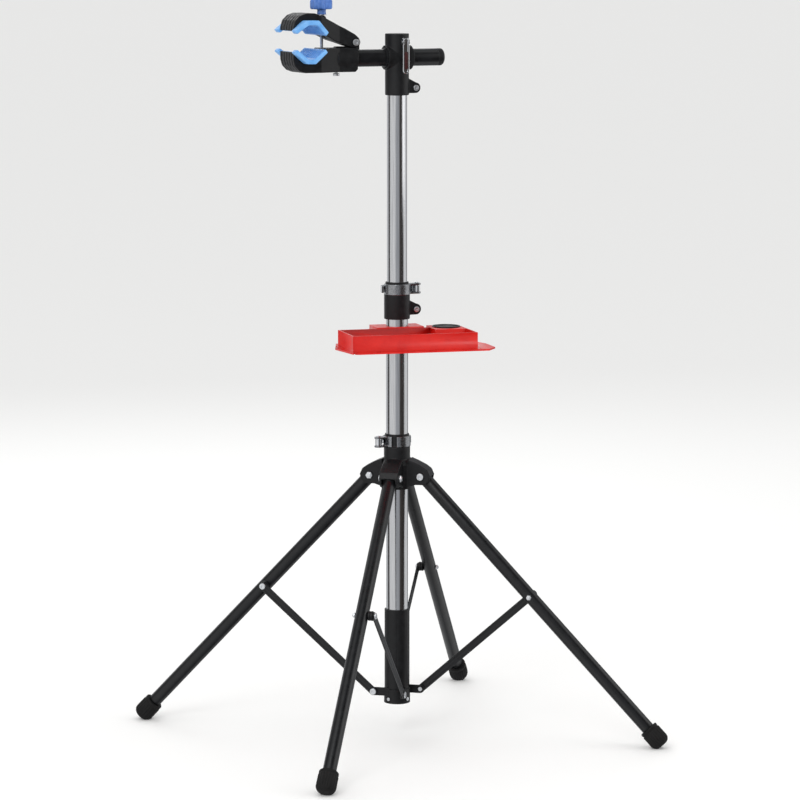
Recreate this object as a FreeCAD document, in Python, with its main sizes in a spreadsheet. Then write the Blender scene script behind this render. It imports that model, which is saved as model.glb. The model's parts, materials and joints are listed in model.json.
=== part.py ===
import FreeCAD, Part
import math
import os
import Sketcher
from FreeCAD import Placement, Rotation, Vector

# Bike repair stand: a four-legged folding base that opens like an umbrella, a two-piece steel
# column, a tool tray that swivels round the column, and a turning arm with a padded clamp.
#
# Frame: origin on the floor on the column's axis, +Z up, +X along the arm away from the clamp.
# All sizes are millimetres. Heights with the ending _z are above the floor.
SIZES = {
    # column
    "lower_radius": 21.0, "lower_bore": 19.5, "lower_foot_z": 64.0, "lower_top_z": 850.0,
    "upper_radius": 19.0, "upper_bore": 17.5, "upper_length": 800.0, "upper_top_z": 1276.0,
    "slide_gap": 0.3, "pin_gap": 0.08,
    "bush_radius": 19.2, "bush_spigot": 17.2, "bush_flange": 12.0, "bush_depth": 30.0,
    # foot of the column
    "sleeve_radius": 24.0, "sleeve_foot_z": 90.0, "sleeve_top_z": 244.5,
    "hub_radius": 25.0, "hub_foot_z": 62.0, "hub_pin_reach": 41.0, "hub_pin_z": 85.0,
    "hub_pin_radius": 4.0, "tab_near": 18.0, "tab_thick": 3.5, "tab_half": 8.0,
    # crown that carries the legs and slides up the lower tube to fold them
    "crown_radius": 30.0, "crown_foot_z": 479.0, "crown_brow_z": 525.0, "crown_neck_z": 537.0,
    "neck_radius": 25.0, "neck_top_z": 560.0, "collet_radius": 23.0, "collet_height": 24.0,
    "pivot_reach": 50.0, "pivot_z": 504.0, "pivot_radius": 4.0, "ear_radius": 19.0,
    "ear_width": 36.0, "ear_slot": 26.0, "ear_slot_reach": 31.0,
    # legs
    "leg_angle": 43.3, "leg_radius": 12.5, "leg_bore": 11.3, "leg_start": 14.0,
    "leg_length": 630.0, "eye_width": 24.4, "spigot_radius": 11.2, "spigot_depth": 34.0,
    "foot_radius": 19.0, "foot_start": 642.0, "foot_end": 684.0, "foot_round": 12.0,
    # stays between the foot of the column and the legs
    "stay_reach": 308.0, "stay_near": 22.0, "stay_thick": 3.0, "stay_half": 7.5,
    "spacer_radius": 9.0, "stay_bolt_radius": 3.0,
    # clamp rings with a cam lever
    "crown_ring_radius": 26.0, "mid_ring_radius": 24.6, "ring_height": 20.0, "ring_slit": 3.0,
    "fork_width": 15.0, "fork_thick": 3.5, "fork_reach": 16.0,
    "lever_thick": 4.5, "lever_gap": 2.0, "lever_height": 13.0,
    "eye_radius": 6.0, "ring_pin_radius": 2.5,
    # collar in the middle of the column
    "collar_radius": 24.5, "collar_foot_z": 803.4, "mid_collet_radius": 22.0,
    "collar_ear_reach": 35.5, "collar_ear_z": 821.0, "collar_ear_radius": 10.5,
    "ear_half": 9.0, "slit": 3.0, "screw_radius": 3.0,
    # head block
    "head_radius": 22.5, "head_foot_z": 1226.5, "head_top_z": 1342.0, "boss_radius": 23.0,
    "boss_start": -25.0, "boss_length": 52.0, "head_bore": 19.0, "head_ear_reach": 34.5,
    "head_ear_z": 1240.0, "head_ear_radius": 10.0, "skewer_reach": 9.0, "skewer_z": 1327.0,
    "skewer_pin_depth": 31.0, "cam_radius": 7.0, "cam_width": 13.0, "head_lever_length": 53.0,
    # arm and its liner
    "arm_radius": 16.25, "arm_bore": 14.25, "arm_z": 1297.0, "arm_start": -130.0,
    "arm_length": 211.0, "liner_outer": 18.7, "liner_inner": 16.55, "liner_start": -27.0,
    "liner_length": 56.5, "cap_length": 12.0, "cap_plug": 20.0,
    # clamp
    "hinge_x": -91.0, "hinge_z": 1327.0, "hinge_radius": 4.0, "jaw_half": 35.0,
    "jaw_neck_half": 18.5, "knuckle_half": 10.0, "knuckle_radius": 9.5, "pad_width": 110.0,
    "nose_x": -221.5, "lip_x": -216.0, "upper_top": 1382.0, "lower_floor": 1272.0, "lower_deck": 1317.0,
    "rod_x": -152.0, "rod_radius": 3.0, "rod_foot_z": 1288.0, "rod_length": 102.0,
    "rod_slot": 22.0, "rod_slot_width": 8.0, "trunnion_radius": 6.0, "trunnion_length": 24.0,
    "jaw_bolt_x": -123.0, "rib_width": 2.6, "rib_pitch": 13.0,
    "knob_radius": 21.5, "knob_foot_z": 1388.6, "knob_top_z": 1407.0, "knob_hub": 8.5,
    "knob_hub_z": 1379.2, "knob_bore_top_z": 1402.0, "knob_scallop": 6.0,
    "washer_radius": 9.5, "washer_thick": 1.7, "rocker_radius": 6.0, "rocker_z": 1371.3,
    # tool tray
    "tray_turn": -7.0, "plate_z": 755.0, "plate_thick": 3.0, "rim_z": 788.0, "wall": 2.8,
    "box_left": -122.0, "box_right": 120.0, "box_front": -133.0, "box_back": -23.5,
    "flange_left": -137.0, "flange_right": 158.0, "flange_front": -149.0, "flange_back": 31.0,
    "housing_half": 46.0, "housing_z": 790.0, "tray_collar_z": 741.0, "tray_collar": 27.0,
    "dish_x": 89.5, "dish_y": -26.0, "dish_radius": 27.0, "platform_left": 60.0,
    "platform_front": -62.0, "platform_back": 8.0, "dish_depth": 1.5, "dish_height": 4.0,
    "divider_x": -58.0, "divider_z": 776.0, "thumb_radius": 9.0, "thumb_length": 12.0,
}
LEGS = {"back": 53.0, "left": 143.0, "front": 233.0, "right": 323.0}
FLAT = {"XY": "XY_Plane", "XZ": "XZ_Plane", "YZ": "YZ_Plane"}
PART_NODES = []

doc = FreeCAD.newDocument("RepairStand")


def make_sheet():
    """Put every driving size in a spreadsheet cell with an alias."""
    sheet = doc.addObject("Spreadsheet::Sheet", "Sizes")
    for row, (alias, value) in enumerate(SIZES.items(), start=1):
        sheet.set(f"A{row}", alias)
        sheet.set(f"B{row}", str(value))
        sheet.setAlias(f"B{row}", alias)
    doc.recompute()


def bind(item, **rules):
    """Bind properties of an object to expressions of the sheet."""
    for name, rule in rules.items():
        item.setExpression(name, rule)
    return item


def turn(axis, degrees):
    return Rotation(Vector(*axis), degrees)


UPRIGHT = Rotation()
ALONG_X = turn((0, 1, 0), 90)
ALONG_Y = turn((1, 0, 0), -90)
AGAINST_Y = turn((1, 0, 0), 90)


def place(item, at=(0, 0, 0), how=UPRIGHT):
    item.Placement = Placement(Vector(*at), how)
    return item


def keep(item, label):
    """Name a finished sub-part; its label becomes its file name."""
    item.Label = label
    PART_NODES.append(item)
    return item


# ---------------------------------------------------------------- building blocks

def cylinder(radius, height, at=(0, 0, 0), how=UPRIGHT, angle=360):
    item = bind(doc.addObject("Part::Cylinder", "Cylinder"), Radius=radius, Height=height)
    item.Angle = angle
    return place(item, at, how)


def block(length, width, height, at, how=UPRIGHT):
    item = bind(doc.addObject("Part::Box", "Block"), Length=length, Width=width, Height=height)
    return place(item, at, how)


def fuse(*items):
    item = doc.addObject("Part::MultiFuse", "Fuse")
    item.Shapes = list(items)
    item.Refine = True
    return item


def cut(base, *tools):
    """Cut one or more tools out of a base."""
    item = doc.addObject("Part::Cut", "Cut")
    item.Base = base
    item.Tool = tools[0] if len(tools) == 1 else fuse(*tools)
    item.Refine = True
    return item


def common(first, second):
    item = doc.addObject("Part::MultiCommon", "Common")
    item.Shapes = [first, second]
    return item


def group(items, label):
    """Keep identical loose pieces together as separate solids of one node."""
    item = doc.addObject("Part::Compound", "Group")
    item.Links = items
    return keep(item, label)


def new_body(name):
    return doc.addObject("PartDesign::Body", name)


def new_sketch(body, flat):
    """Attach a sketch to one of a body's own origin planes."""
    sketch = body.newObject("Sketcher::SketchObject", "Sketch")
    plane = next(p for p in body.Origin.OriginFeatures if p.Role == FLAT[flat])
    sketch.AttachmentSupport = (plane, [""])
    sketch.MapMode = "FlatFace"
    return sketch


def fix_point(sketch, index, spot, along, rule):
    """Hold one coordinate of a vertex at an expression, or on the axis when the rule is 0."""
    if rule == "0":
        sketch.addConstraint(Sketcher.Constraint("PointOnObject", index, spot, -2 if along == "X" else -1))
        return
    number = sketch.addConstraint(Sketcher.Constraint("Distance" + along, -1, 1, index, spot, 1.0))
    sketch.setExpression(f"Constraints[{number}]", rule)


def draw_polygon(sketch, corners):
    """Draw a closed outline whose corners are pairs of expressions."""
    count = len(corners)
    spots = [Vector(math.cos(6.2832 * i / count), math.sin(6.2832 * i / count), 0) for i in range(count)]
    first = sketch.GeometryCount
    for i in range(count):
        sketch.addGeometry(Part.LineSegment(spots[i], spots[(i + 1) % count]), False)
    for i in range(count):
        sketch.addConstraint(Sketcher.Constraint("Coincident", first + i, 2, first + (i + 1) % count, 1))
    for i, (across, up) in enumerate(corners):
        fix_point(sketch, first + i, 1, "X", across)
        fix_point(sketch, first + i, 1, "Y", up)


def draw_circle(sketch, radius, across="0", up="0"):
    index = sketch.addGeometry(Part.Circle(Vector(1, 1, 0), Vector(0, 0, 1), 1.0), False)
    number = sketch.addConstraint(Sketcher.Constraint("Radius", index, 1.0))
    sketch.setExpression(f"Constraints[{number}]", radius)
    fix_point(sketch, index, 3, "X", across)
    fix_point(sketch, index, 3, "Y", up)


def rectangle(left, front, right, back):
    return [(left, front), (right, front), (right, back), (left, back)]


def pad(body, sketch, length, both_ways=False, backwards=False):
    item = body.newObject("PartDesign::Pad", "Pad")
    item.Profile = sketch
    item.Midplane = both_ways
    item.Reversed = backwards
    return bind(item, Length=length)


def pocket(body, sketch, length, both_ways=False, backwards=False):
    """Cut a pocket and check that it has taken material away."""
    doc.recompute()
    before = body.Shape.Volume
    item = body.newObject("PartDesign::Pocket", "Pocket")
    item.Profile = sketch
    item.Midplane = both_ways
    item.Reversed = backwards
    bind(item, Length=length)
    doc.recompute()
    if body.Shape.Volume >= before - 0.1:
        raise RuntimeError("a pocket of " + body.Name + " cuts nothing")
    return item


def around(body, feature, count, degrees=360.0):
    """Repeat a feature round the body's Z axis."""
    item = body.newObject("PartDesign::PolarPattern", "Around")
    item.Originals = [feature]
    axis = next(a for a in body.Origin.OriginFeatures if a.Role == "Z_Axis")
    item.Axis = (axis, [""])
    item.Angle = degrees
    item.Occurrences = count
    body.Tip = item
    return item


def turned(name, outline):
    """Make a body turned round Z from an outline of (radius, height) pairs."""
    body = new_body(name)
    sketch = new_sketch(body, "XZ")
    draw_polygon(sketch, outline)
    item = body.newObject("PartDesign::Revolution", "Turned")
    item.Profile = sketch
    item.ReferenceAxis = (sketch, ["V_Axis"])
    item.Angle = 360.0
    return body


def extruded(name, flat, outline, length, both_ways=True):
    """Make a body padded from a straight-sided outline."""
    body = new_body(name)
    sketch = new_sketch(body, flat)
    draw_polygon(sketch, outline)
    pad(body, sketch, length, both_ways)
    return body


def tube(name, radius, bore, length, at=(0, 0, 0), how=UPRIGHT):
    """Make a round tube from two circles."""
    body = new_body(name)
    sketch = new_sketch(body, "XY")
    draw_circle(sketch, radius)
    draw_circle(sketch, bore)
    pad(body, sketch, length)
    return place(body, at, how)


def cross_bolt(radius, grip, head_radius, head_height, nut=True):
    """Make a bolt along Z that is centred on its grip, with its head at the lower end."""
    shank = cylinder(radius, f"{grip} + 0.02", (0, 0, 0))
    shank.setExpression("Placement.Base.z", f"-({grip}) / 2 - 0.01")
    head = cylinder(head_radius, head_height)
    head.setExpression("Placement.Base.z", f"-({grip}) / 2 - ({head_height})")
    pieces = [shank, head]
    if nut:
        far = doc.addObject("Part::Prism", "Nut")
        far.Polygon = 6
        bind(far, Circumradius=head_radius, Height=head_height)
        far.setExpression("Placement.Base.z", f"({grip}) / 2")
        pieces.append(far)
    return fuse(*pieces)


def radial(azimuth):
    """Unit vector away from the column at an azimuth."""
    return Vector(math.cos(math.radians(azimuth)), math.sin(math.radians(azimuth)), 0)


# ---------------------------------------------------------------- column

def column():
    keep(tube("LowerTube", "Sizes.lower_radius", "Sizes.lower_bore",
              "Sizes.lower_top_z - Sizes.lower_foot_z", (0, 0, SIZES["lower_foot_z"])), "lower_tube")
    keep(tube("Sleeve", "Sizes.sleeve_radius", "Sizes.lower_radius",
              "Sizes.sleeve_top_z - Sizes.sleeve_foot_z", (0, 0, SIZES["sleeve_foot_z"])), "bottom_sleeve")


def bottom_hub():
    """Closed hub with four lugs, each beside its leg's plane so that the stay runs past it."""
    reach, height = SIZES["hub_pin_reach"], SIZES["hub_pin_z"]
    base = SIZES["hub_foot_z"]
    rise = "Sizes.sleeve_foot_z - Sizes.hub_foot_z"
    shell = cylinder("Sizes.hub_radius", rise, (0, 0, base))
    lugs, holes = [], []
    for azimuth in LEGS.values():
        swing = turn((0, 0, 1), azimuth)
        near = Vector(0, SIZES["tab_near"], 0)
        low = Vector(10, 0, height - SIZES["tab_half"]) + near
        lugs.append(block("Sizes.hub_pin_reach - 10", "Sizes.tab_thick", "Sizes.tab_half * 2",
                          swing.multVec(low), swing))
        middle = swing.multVec(Vector(reach, 0, height) + near)
        lugs.append(cylinder("Sizes.tab_half", "Sizes.tab_thick", middle, swing.multiply(ALONG_Y)))
        holes.append(cylinder("Sizes.hub_pin_radius", "Sizes.tab_thick * 3",
                              middle - swing.multVec(Vector(0, 3, 0)), swing.multiply(ALONG_Y)))
        outward = turn((0, 0, 1), azimuth - 25).multiply(ALONG_X)
        holes.append(cylinder("Sizes.screw_radius - 1", "Sizes.hub_radius",
                              radial(azimuth - 25) * 19.5 + Vector(0, 0, base + 9), outward))
    bore = cylinder("Sizes.lower_radius", rise, (0, 0, SIZES["lower_foot_z"]))
    sleeve_seat = cylinder("Sizes.sleeve_radius", rise, (0, 0, SIZES["sleeve_foot_z"]))
    keep(cut(fuse(shell, *lugs), bore, sleeve_seat, *holes), "bottom_hub")


def hub_fasteners():
    pins, screws = [], []
    for azimuth in LEGS.values():
        swing = turn((0, 0, 1), azimuth)
        grip = "Sizes.tab_thick + Sizes.stay_thick + 0.7"
        pin = cross_bolt("Sizes.hub_pin_radius", grip, "Sizes.tab_half - 1", "2.5", nut=False)
        seat = SIZES["tab_near"] + (SIZES["tab_thick"] + SIZES["stay_thick"] + 0.7) / 2 - 0.05
        middle = swing.multVec(Vector(SIZES["hub_pin_reach"], seat, SIZES["hub_pin_z"]))
        pins.append(place(pin, middle, swing.multiply(AGAINST_Y)))
        outward = turn((0, 0, 1), azimuth - 25).multiply(ALONG_X)
        shank = cylinder("Sizes.screw_radius - 1", "4.2", (0, 0, -4.0))
        head = cylinder("Sizes.screw_radius + 0.5", "2", (0, 0, 0))
        seat_point = radial(azimuth - 25) * SIZES["hub_radius"] + Vector(0, 0, SIZES["hub_foot_z"] + 9)
        screws.append(place(fuse(shank, head), seat_point, outward))
    group(pins, "stay_foot_pins")
    group(screws, "hub_screws")


# ---------------------------------------------------------------- clamp rings

def clamp_ring(label, radius, bore, foot_z, azimuth):
    """A split band with a fork for the lever's pin; the fork points along the azimuth."""
    swing = turn((0, 0, 1), azimuth)
    middle = SIZES[radius[6:]] + SIZES["fork_reach"]
    band = cylinder(radius, "Sizes.ring_height", (0, 0, 0))
    arms = []
    for rise in (0, SIZES["ring_height"] - SIZES["fork_thick"]):
        arms.append(block(f"{radius} + Sizes.fork_reach - 18", "Sizes.fork_width", "Sizes.fork_thick",
                          (18, -SIZES["fork_width"] / 2, rise)))
        arms.append(cylinder("Sizes.fork_width / 2", "Sizes.fork_thick", (middle, 0, rise)))
    hole = cylinder(bore, "Sizes.ring_height * 2", (0, 0, -10))
    gap = block("60", "Sizes.ring_slit", "Sizes.ring_height * 2", (0, 3.2 - SIZES["fork_width"], -10))
    pin_hole = cylinder("Sizes.ring_pin_radius", "Sizes.ring_height * 2", (middle, 0, -10))
    keep(place(cut(fuse(band, *arms), hole, gap, pin_hole), (0, 0, foot_z), swing), label)
    pin = cross_bolt("Sizes.ring_pin_radius", "Sizes.ring_height", "Sizes.ring_pin_radius + 1.7", "2",
                     nut=False)
    centre = swing.multVec(Vector(middle, 0, 0)) + Vector(0, 0, foot_z + SIZES["ring_height"] / 2)
    keep(place(pin, centre, turn((1, 0, 0), 180)), label + "_pin")


def ring_lever(label, radius, foot_z, azimuth):
    """The cam lever that lies round the back of its ring when closed."""
    swing = turn((0, 0, 1), azimuth)
    ring_radius = SIZES[radius[6:]]
    middle = ring_radius + SIZES["fork_reach"]
    side = 1 if azimuth < 90 else -1
    inner = f"{radius} + Sizes.lever_gap"
    outer = f"{inner} + Sizes.lever_thick"
    start = turn((0, 0, 1), 50 if side > 0 else -180)
    bow = cut(cylinder(outer, "Sizes.lever_height", how=start, angle=130),
              cylinder(inner, "Sizes.lever_height * 3", (0, 0, -10)))
    eye = cylinder("Sizes.eye_radius", "Sizes.lever_height", (middle, 0, 0))
    bend = math.radians(52)
    bow_radius = ring_radius + SIZES["lever_gap"] + SIZES["lever_thick"] / 2
    run = Vector(bow_radius * math.cos(bend) - middle, side * bow_radius * math.sin(bend), 0)
    heading = Rotation(Vector(1, 0, 0), run)
    offset = heading.multVec(Vector(0, -SIZES["lever_thick"] / 2, 0))
    link = block(str(round(run.Length, 3)), "Sizes.lever_thick", "Sizes.lever_height",
                 Vector(middle, 0, 0) + offset, heading)
    hole = cylinder("Sizes.ring_pin_radius + Sizes.pin_gap", "Sizes.lever_height * 3", (middle, 0, -10))
    rise = foot_z + (SIZES["ring_height"] - SIZES["lever_height"]) / 2
    keep(place(cut(fuse(bow, eye, link), hole), (0, 0, rise), swing), label)


# ---------------------------------------------------------------- crown

def crown():
    """Sliding crown: a turned core with a collet and four forked ears, each hooded over its leg."""
    body = turned("Crown", [
        ("Sizes.lower_radius + Sizes.slide_gap", "Sizes.crown_foot_z"),
        ("Sizes.crown_radius", "Sizes.crown_foot_z"),
        ("Sizes.crown_radius", "Sizes.crown_brow_z"),
        ("Sizes.neck_radius", "Sizes.crown_neck_z"),
        ("Sizes.neck_radius", "Sizes.neck_top_z"),
        ("Sizes.collet_radius", "Sizes.neck_top_z"),
        ("Sizes.collet_radius", "Sizes.neck_top_z + Sizes.collet_height"),
        ("Sizes.lower_radius + Sizes.slide_gap", "Sizes.neck_top_z + Sizes.collet_height")])
    ear = new_sketch(body, "XZ")
    reach = "Sizes.pivot_reach"
    draw_polygon(ear, [
        ("Sizes.neck_radius", "Sizes.crown_foot_z + 4"),
        (f"{reach} - 9", "Sizes.pivot_z - Sizes.ear_radius + 3"),
        (f"{reach} + 9", "Sizes.pivot_z - Sizes.ear_radius + 3"),
        (f"{reach} + Sizes.ear_radius - 2", "Sizes.pivot_z - 8"),
        (f"{reach} + Sizes.ear_radius", "Sizes.pivot_z + 2"),
        (f"{reach} + 14", "Sizes.pivot_z + 13"),
        (f"{reach} + 4", "Sizes.pivot_z + 20"),
        (f"{reach} - 10", "Sizes.crown_neck_z - 6"),
        ("Sizes.neck_radius", "Sizes.crown_neck_z")])
    around(body, pad(body, ear, "Sizes.ear_width", both_ways=True), 4)
    doc.recompute()
    fork = new_sketch(body, "XZ")
    draw_polygon(fork, [
        ("Sizes.ear_slot_reach", "Sizes.crown_foot_z - 5"), (f"{reach} + 40", "Sizes.crown_foot_z - 5"),
        (f"{reach} + 40", "Sizes.pivot_z - 22.8"), (f"{reach} + 9.8", "Sizes.pivot_z + 9.2"),
        (f"{reach} + 5.5", "Sizes.pivot_z + 12.4"), (reach, "Sizes.pivot_z + 13.5"),
        (f"{reach} - 7", "Sizes.pivot_z + 11.6"), ("Sizes.ear_slot_reach", "Sizes.pivot_z + 4")])
    around(body, pocket(body, fork, "Sizes.ear_slot", both_ways=True), 4)
    doc.recompute()
    bolt_hole = new_sketch(body, "XZ")
    draw_circle(bolt_hole, "Sizes.pivot_radius", reach, "Sizes.pivot_z")
    around(body, pocket(body, bolt_hole, "Sizes.ear_width * 2", both_ways=True), 4)
    keep(place(body, how=turn((0, 0, 1), LEGS["back"])), "crown")


def leg_pivot_bolts():
    bolts = []
    for azimuth in LEGS.values():
        swing = turn((0, 0, 1), azimuth)
        middle = swing.multVec(Vector(SIZES["pivot_reach"], 0, SIZES["pivot_z"]))
        bolt = cross_bolt("Sizes.pivot_radius", "Sizes.ear_width", "Sizes.pivot_radius * 1.7", "4")
        bolts.append(place(bolt, middle, swing.multiply(ALONG_Y)))
    group(bolts, "leg_pivot_bolts")


# ---------------------------------------------------------------- legs and stays

def leg(side, azimuth):
    """One leg: a tube, the moulded eye in its top end and the rubber foot."""
    lean = turn((0, 0, 1), azimuth).multiply(turn((0, 1, 0), -SIZES["leg_angle"]))
    pivot = radial(azimuth) * SIZES["pivot_reach"] + Vector(0, 0, SIZES["pivot_z"])
    start = pivot + lean.multVec(Vector(0, 0, -SIZES["leg_start"]))
    downhill = lean.multiply(turn((1, 0, 0), 180))
    keep(tube(side + "Leg", "Sizes.leg_radius", "Sizes.leg_bore", "Sizes.leg_length", start, downhill),
         side + "_leg_tube")

    eye = cylinder("Sizes.leg_radius - 0.4", "Sizes.eye_width", (0, -SIZES["eye_width"] / 2, 0), ALONG_Y)
    hole = cylinder("Sizes.pivot_radius + Sizes.pin_gap", "Sizes.eye_width * 2",
                    (0, -SIZES["eye_width"], 0), ALONG_Y)
    neck = cylinder("Sizes.leg_radius", "Sizes.leg_start", (0, 0, 0))
    spigot = cylinder("Sizes.spigot_radius", "Sizes.spigot_depth")
    keep(place(cut(fuse(eye, neck, spigot), hole), pivot, downhill), side + "_leg_eye")

    foot = turned(side + "Foot", [
        ("0", "Sizes.leg_start + Sizes.leg_length"),
        ("Sizes.leg_radius", "Sizes.leg_start + Sizes.leg_length"),
        ("Sizes.leg_radius", "Sizes.foot_start"),
        ("Sizes.foot_radius - 1.5", "Sizes.foot_start"),
        ("Sizes.foot_radius", "Sizes.foot_start + 3"),
        ("Sizes.foot_radius", "Sizes.foot_end - Sizes.foot_round"),
        ("Sizes.foot_radius - Sizes.foot_round * 0.13", "Sizes.foot_end - Sizes.foot_round * 0.5"),
        ("Sizes.foot_radius - Sizes.foot_round * 0.5", "Sizes.foot_end - Sizes.foot_round * 0.13"),
        ("Sizes.foot_radius - Sizes.foot_round", "Sizes.foot_end"),
        ("0", "Sizes.foot_end")])
    place(foot, pivot, downhill)
    floor = block("1400", "1400", "100", (-700, -700, -100))
    keep(cut(foot, floor), side + "_foot")


def stay_angle():
    """Angle from the vertical of the line between a stay's two pivots, and its length."""
    slope = math.radians(SIZES["leg_angle"])
    run = SIZES["pivot_reach"] + SIZES["stay_reach"] * math.sin(slope) - SIZES["hub_pin_reach"]
    rise = SIZES["pivot_z"] - SIZES["stay_reach"] * math.cos(slope) - SIZES["hub_pin_z"]
    return math.degrees(math.atan2(run, rise)), math.hypot(run, rise)


def stay(side, azimuth):
    """One flat stay beside its leg, and the shouldered bolt that spaces it off the leg."""
    lean, length = stay_angle()
    how = turn((0, 0, 1), azimuth).multiply(turn((0, 1, 0), lean))
    foot = radial(azimuth) * SIZES["hub_pin_reach"] + Vector(0, 0, SIZES["hub_pin_z"])
    near = SIZES["stay_near"]
    span = str(round(length, 4))
    bar = block("Sizes.stay_half * 2", "Sizes.stay_thick", span, (-SIZES["stay_half"], near, 0))
    ends = [cylinder("Sizes.stay_half", "Sizes.stay_thick", (0, near, rise), ALONG_Y) for rise in (0, length)]
    foot_hole = cylinder("Sizes.hub_pin_radius + Sizes.pin_gap", "20", (0, near - 8, 0), ALONG_Y)
    head_hole = cylinder("Sizes.stay_bolt_radius", "20", (0, near - 8, length), ALONG_Y)
    keep(place(cut(fuse(bar, *ends), foot_hole, head_hole), foot, how), side + "_stay")

    clear = SIZES["leg_radius"] + SIZES["slide_gap"]
    spacer = cylinder("Sizes.spacer_radius", str(near - clear), (0, clear, length), ALONG_Y)
    shank = cylinder("Sizes.stay_bolt_radius", "Sizes.stay_thick", (0, near, length), ALONG_Y)
    head = cylinder("Sizes.stay_bolt_radius * 2", "3", (0, near + SIZES["stay_thick"], length), ALONG_Y)
    keep(place(fuse(spacer, shank, head), foot, how), side + "_stay_bolt")


# ---------------------------------------------------------------- middle collar

def pinch_screw(label, reach, height, azimuth=0.0):
    swing = turn((0, 0, 1), azimuth)
    bolt = cross_bolt("Sizes.screw_radius", "Sizes.ear_half * 2", "Sizes.screw_radius * 1.8", "4")
    keep(place(bolt, swing.multVec(Vector(reach, 0, height)), swing.multiply(ALONG_Y)), label)


def pinch_ear(reach, height, radius):
    """Ear on the +X side of a collar, and the cuts for its slit and its screw."""
    half = SIZES["ear_half"]
    size = SIZES[radius[6:]]
    ear = [block(f"{reach} - 12", "Sizes.ear_half * 2", f"{radius} * 2", (12, -half, height - size)),
           cylinder(radius, "Sizes.ear_half * 2", (reach, -half, height), ALONG_Y),
           extruded("EarWeb", "XZ", [("12", str(height - size)), (str(reach), str(height - size)),
                                     (str(reach + 0.7 * size), str(height + 0.7 * size)),
                                     ("20", str(height + size + 8))], "Sizes.ear_half * 2")]
    slit = block("60", "Sizes.slit", f"{radius} * 2 + 16",
                 (12, -SIZES["slit"] / 2, height - size - 4))
    hole = cylinder("Sizes.screw_radius", "Sizes.ear_half * 4", (reach, -2 * half, height), ALONG_Y)
    return ear, [slit, hole]


def middle_collar():
    reach, height = SIZES["collar_ear_reach"], SIZES["collar_ear_z"]
    foot = SIZES["collar_foot_z"]
    shell = cylinder("Sizes.collar_radius", "Sizes.lower_top_z - Sizes.collar_foot_z", (0, 0, foot))
    collet = cylinder("Sizes.mid_collet_radius", "Sizes.collet_height", (0, 0, SIZES["lower_top_z"]))
    ear, openings = pinch_ear(reach, height, "Sizes.collar_ear_radius")
    low_bore = cylinder("Sizes.lower_radius", "Sizes.lower_top_z - Sizes.collar_foot_z", (0, 0, foot))
    high_bore = cylinder("Sizes.upper_radius + Sizes.slide_gap", "100", (0, 0, foot))
    keep(cut(fuse(shell, collet, *ear), low_bore, high_bore, *openings), "middle_collar")
    pinch_screw("middle_collar_screw", reach, height)


# ---------------------------------------------------------------- mast and head

def mast():
    foot_z = SIZES["upper_top_z"] - SIZES["upper_length"]
    keep(tube("UpperTube", "Sizes.upper_radius", "Sizes.upper_bore", "Sizes.upper_length",
              (0, 0, foot_z)), "upper_tube")
    seat = foot_z - SIZES["slide_gap"]
    flange = cylinder("Sizes.bush_radius", "Sizes.bush_flange", (0, 0, seat - SIZES["bush_flange"]))
    spigot = cylinder("Sizes.bush_spigot", "Sizes.bush_depth", (0, 0, seat))
    hollow = cylinder("Sizes.bush_spigot - 3", "100", (0, 0, seat - 40))
    keep(cut(fuse(flange, spigot), hollow), "glide_bush")


def head_block():
    height = SIZES["arm_z"]
    post = cylinder("Sizes.head_radius", "Sizes.head_top_z - Sizes.head_foot_z",
                    (0, 0, SIZES["head_foot_z"]))
    boss = cylinder("Sizes.boss_radius", "Sizes.boss_length", (SIZES["boss_start"], 0, height), ALONG_X)
    ear, openings = pinch_ear(SIZES["head_ear_reach"], SIZES["head_ear_z"], "Sizes.head_ear_radius")
    tube_bore = cylinder("Sizes.upper_radius", "Sizes.upper_top_z - Sizes.head_foot_z + 1",
                         (0, 0, SIZES["head_foot_z"] - 1))
    arm_bore = cylinder("Sizes.head_bore", "Sizes.boss_length * 2", (-60, 0, height), ALONG_X)
    lip_slit = block("120", "Sizes.slit", "60", (-60, -SIZES["slit"] / 2, height + 10))
    skewer_hole = cylinder("Sizes.screw_radius", "100", (SIZES["skewer_reach"], -50, SIZES["skewer_z"]),
                           ALONG_Y)
    keep(cut(fuse(post, boss, *ear), tube_bore, arm_bore, lip_slit, skewer_hole, *openings), "head_block")
    pinch_screw("head_pinch_screw", SIZES["head_ear_reach"], SIZES["head_ear_z"])


def head_skewer():
    """Rod through the split lips, a nut behind and the lever's cross pin in front."""
    across, height = SIZES["skewer_reach"], SIZES["skewer_z"]
    depth = SIZES["skewer_pin_depth"]
    rod = cylinder("Sizes.screw_radius", "Sizes.skewer_pin_depth + 30", (across, -depth, height), ALONG_Y)
    nut = cylinder("Sizes.cam_radius", "8", (across, SIZES["head_radius"], height), ALONG_Y)
    pin = cylinder("Sizes.ring_pin_radius", "Sizes.cam_width + 1",
                   (across - SIZES["cam_width"] / 2 - 0.5, -depth, height), ALONG_X)
    keep(fuse(rod, nut, pin), "head_skewer")


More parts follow.
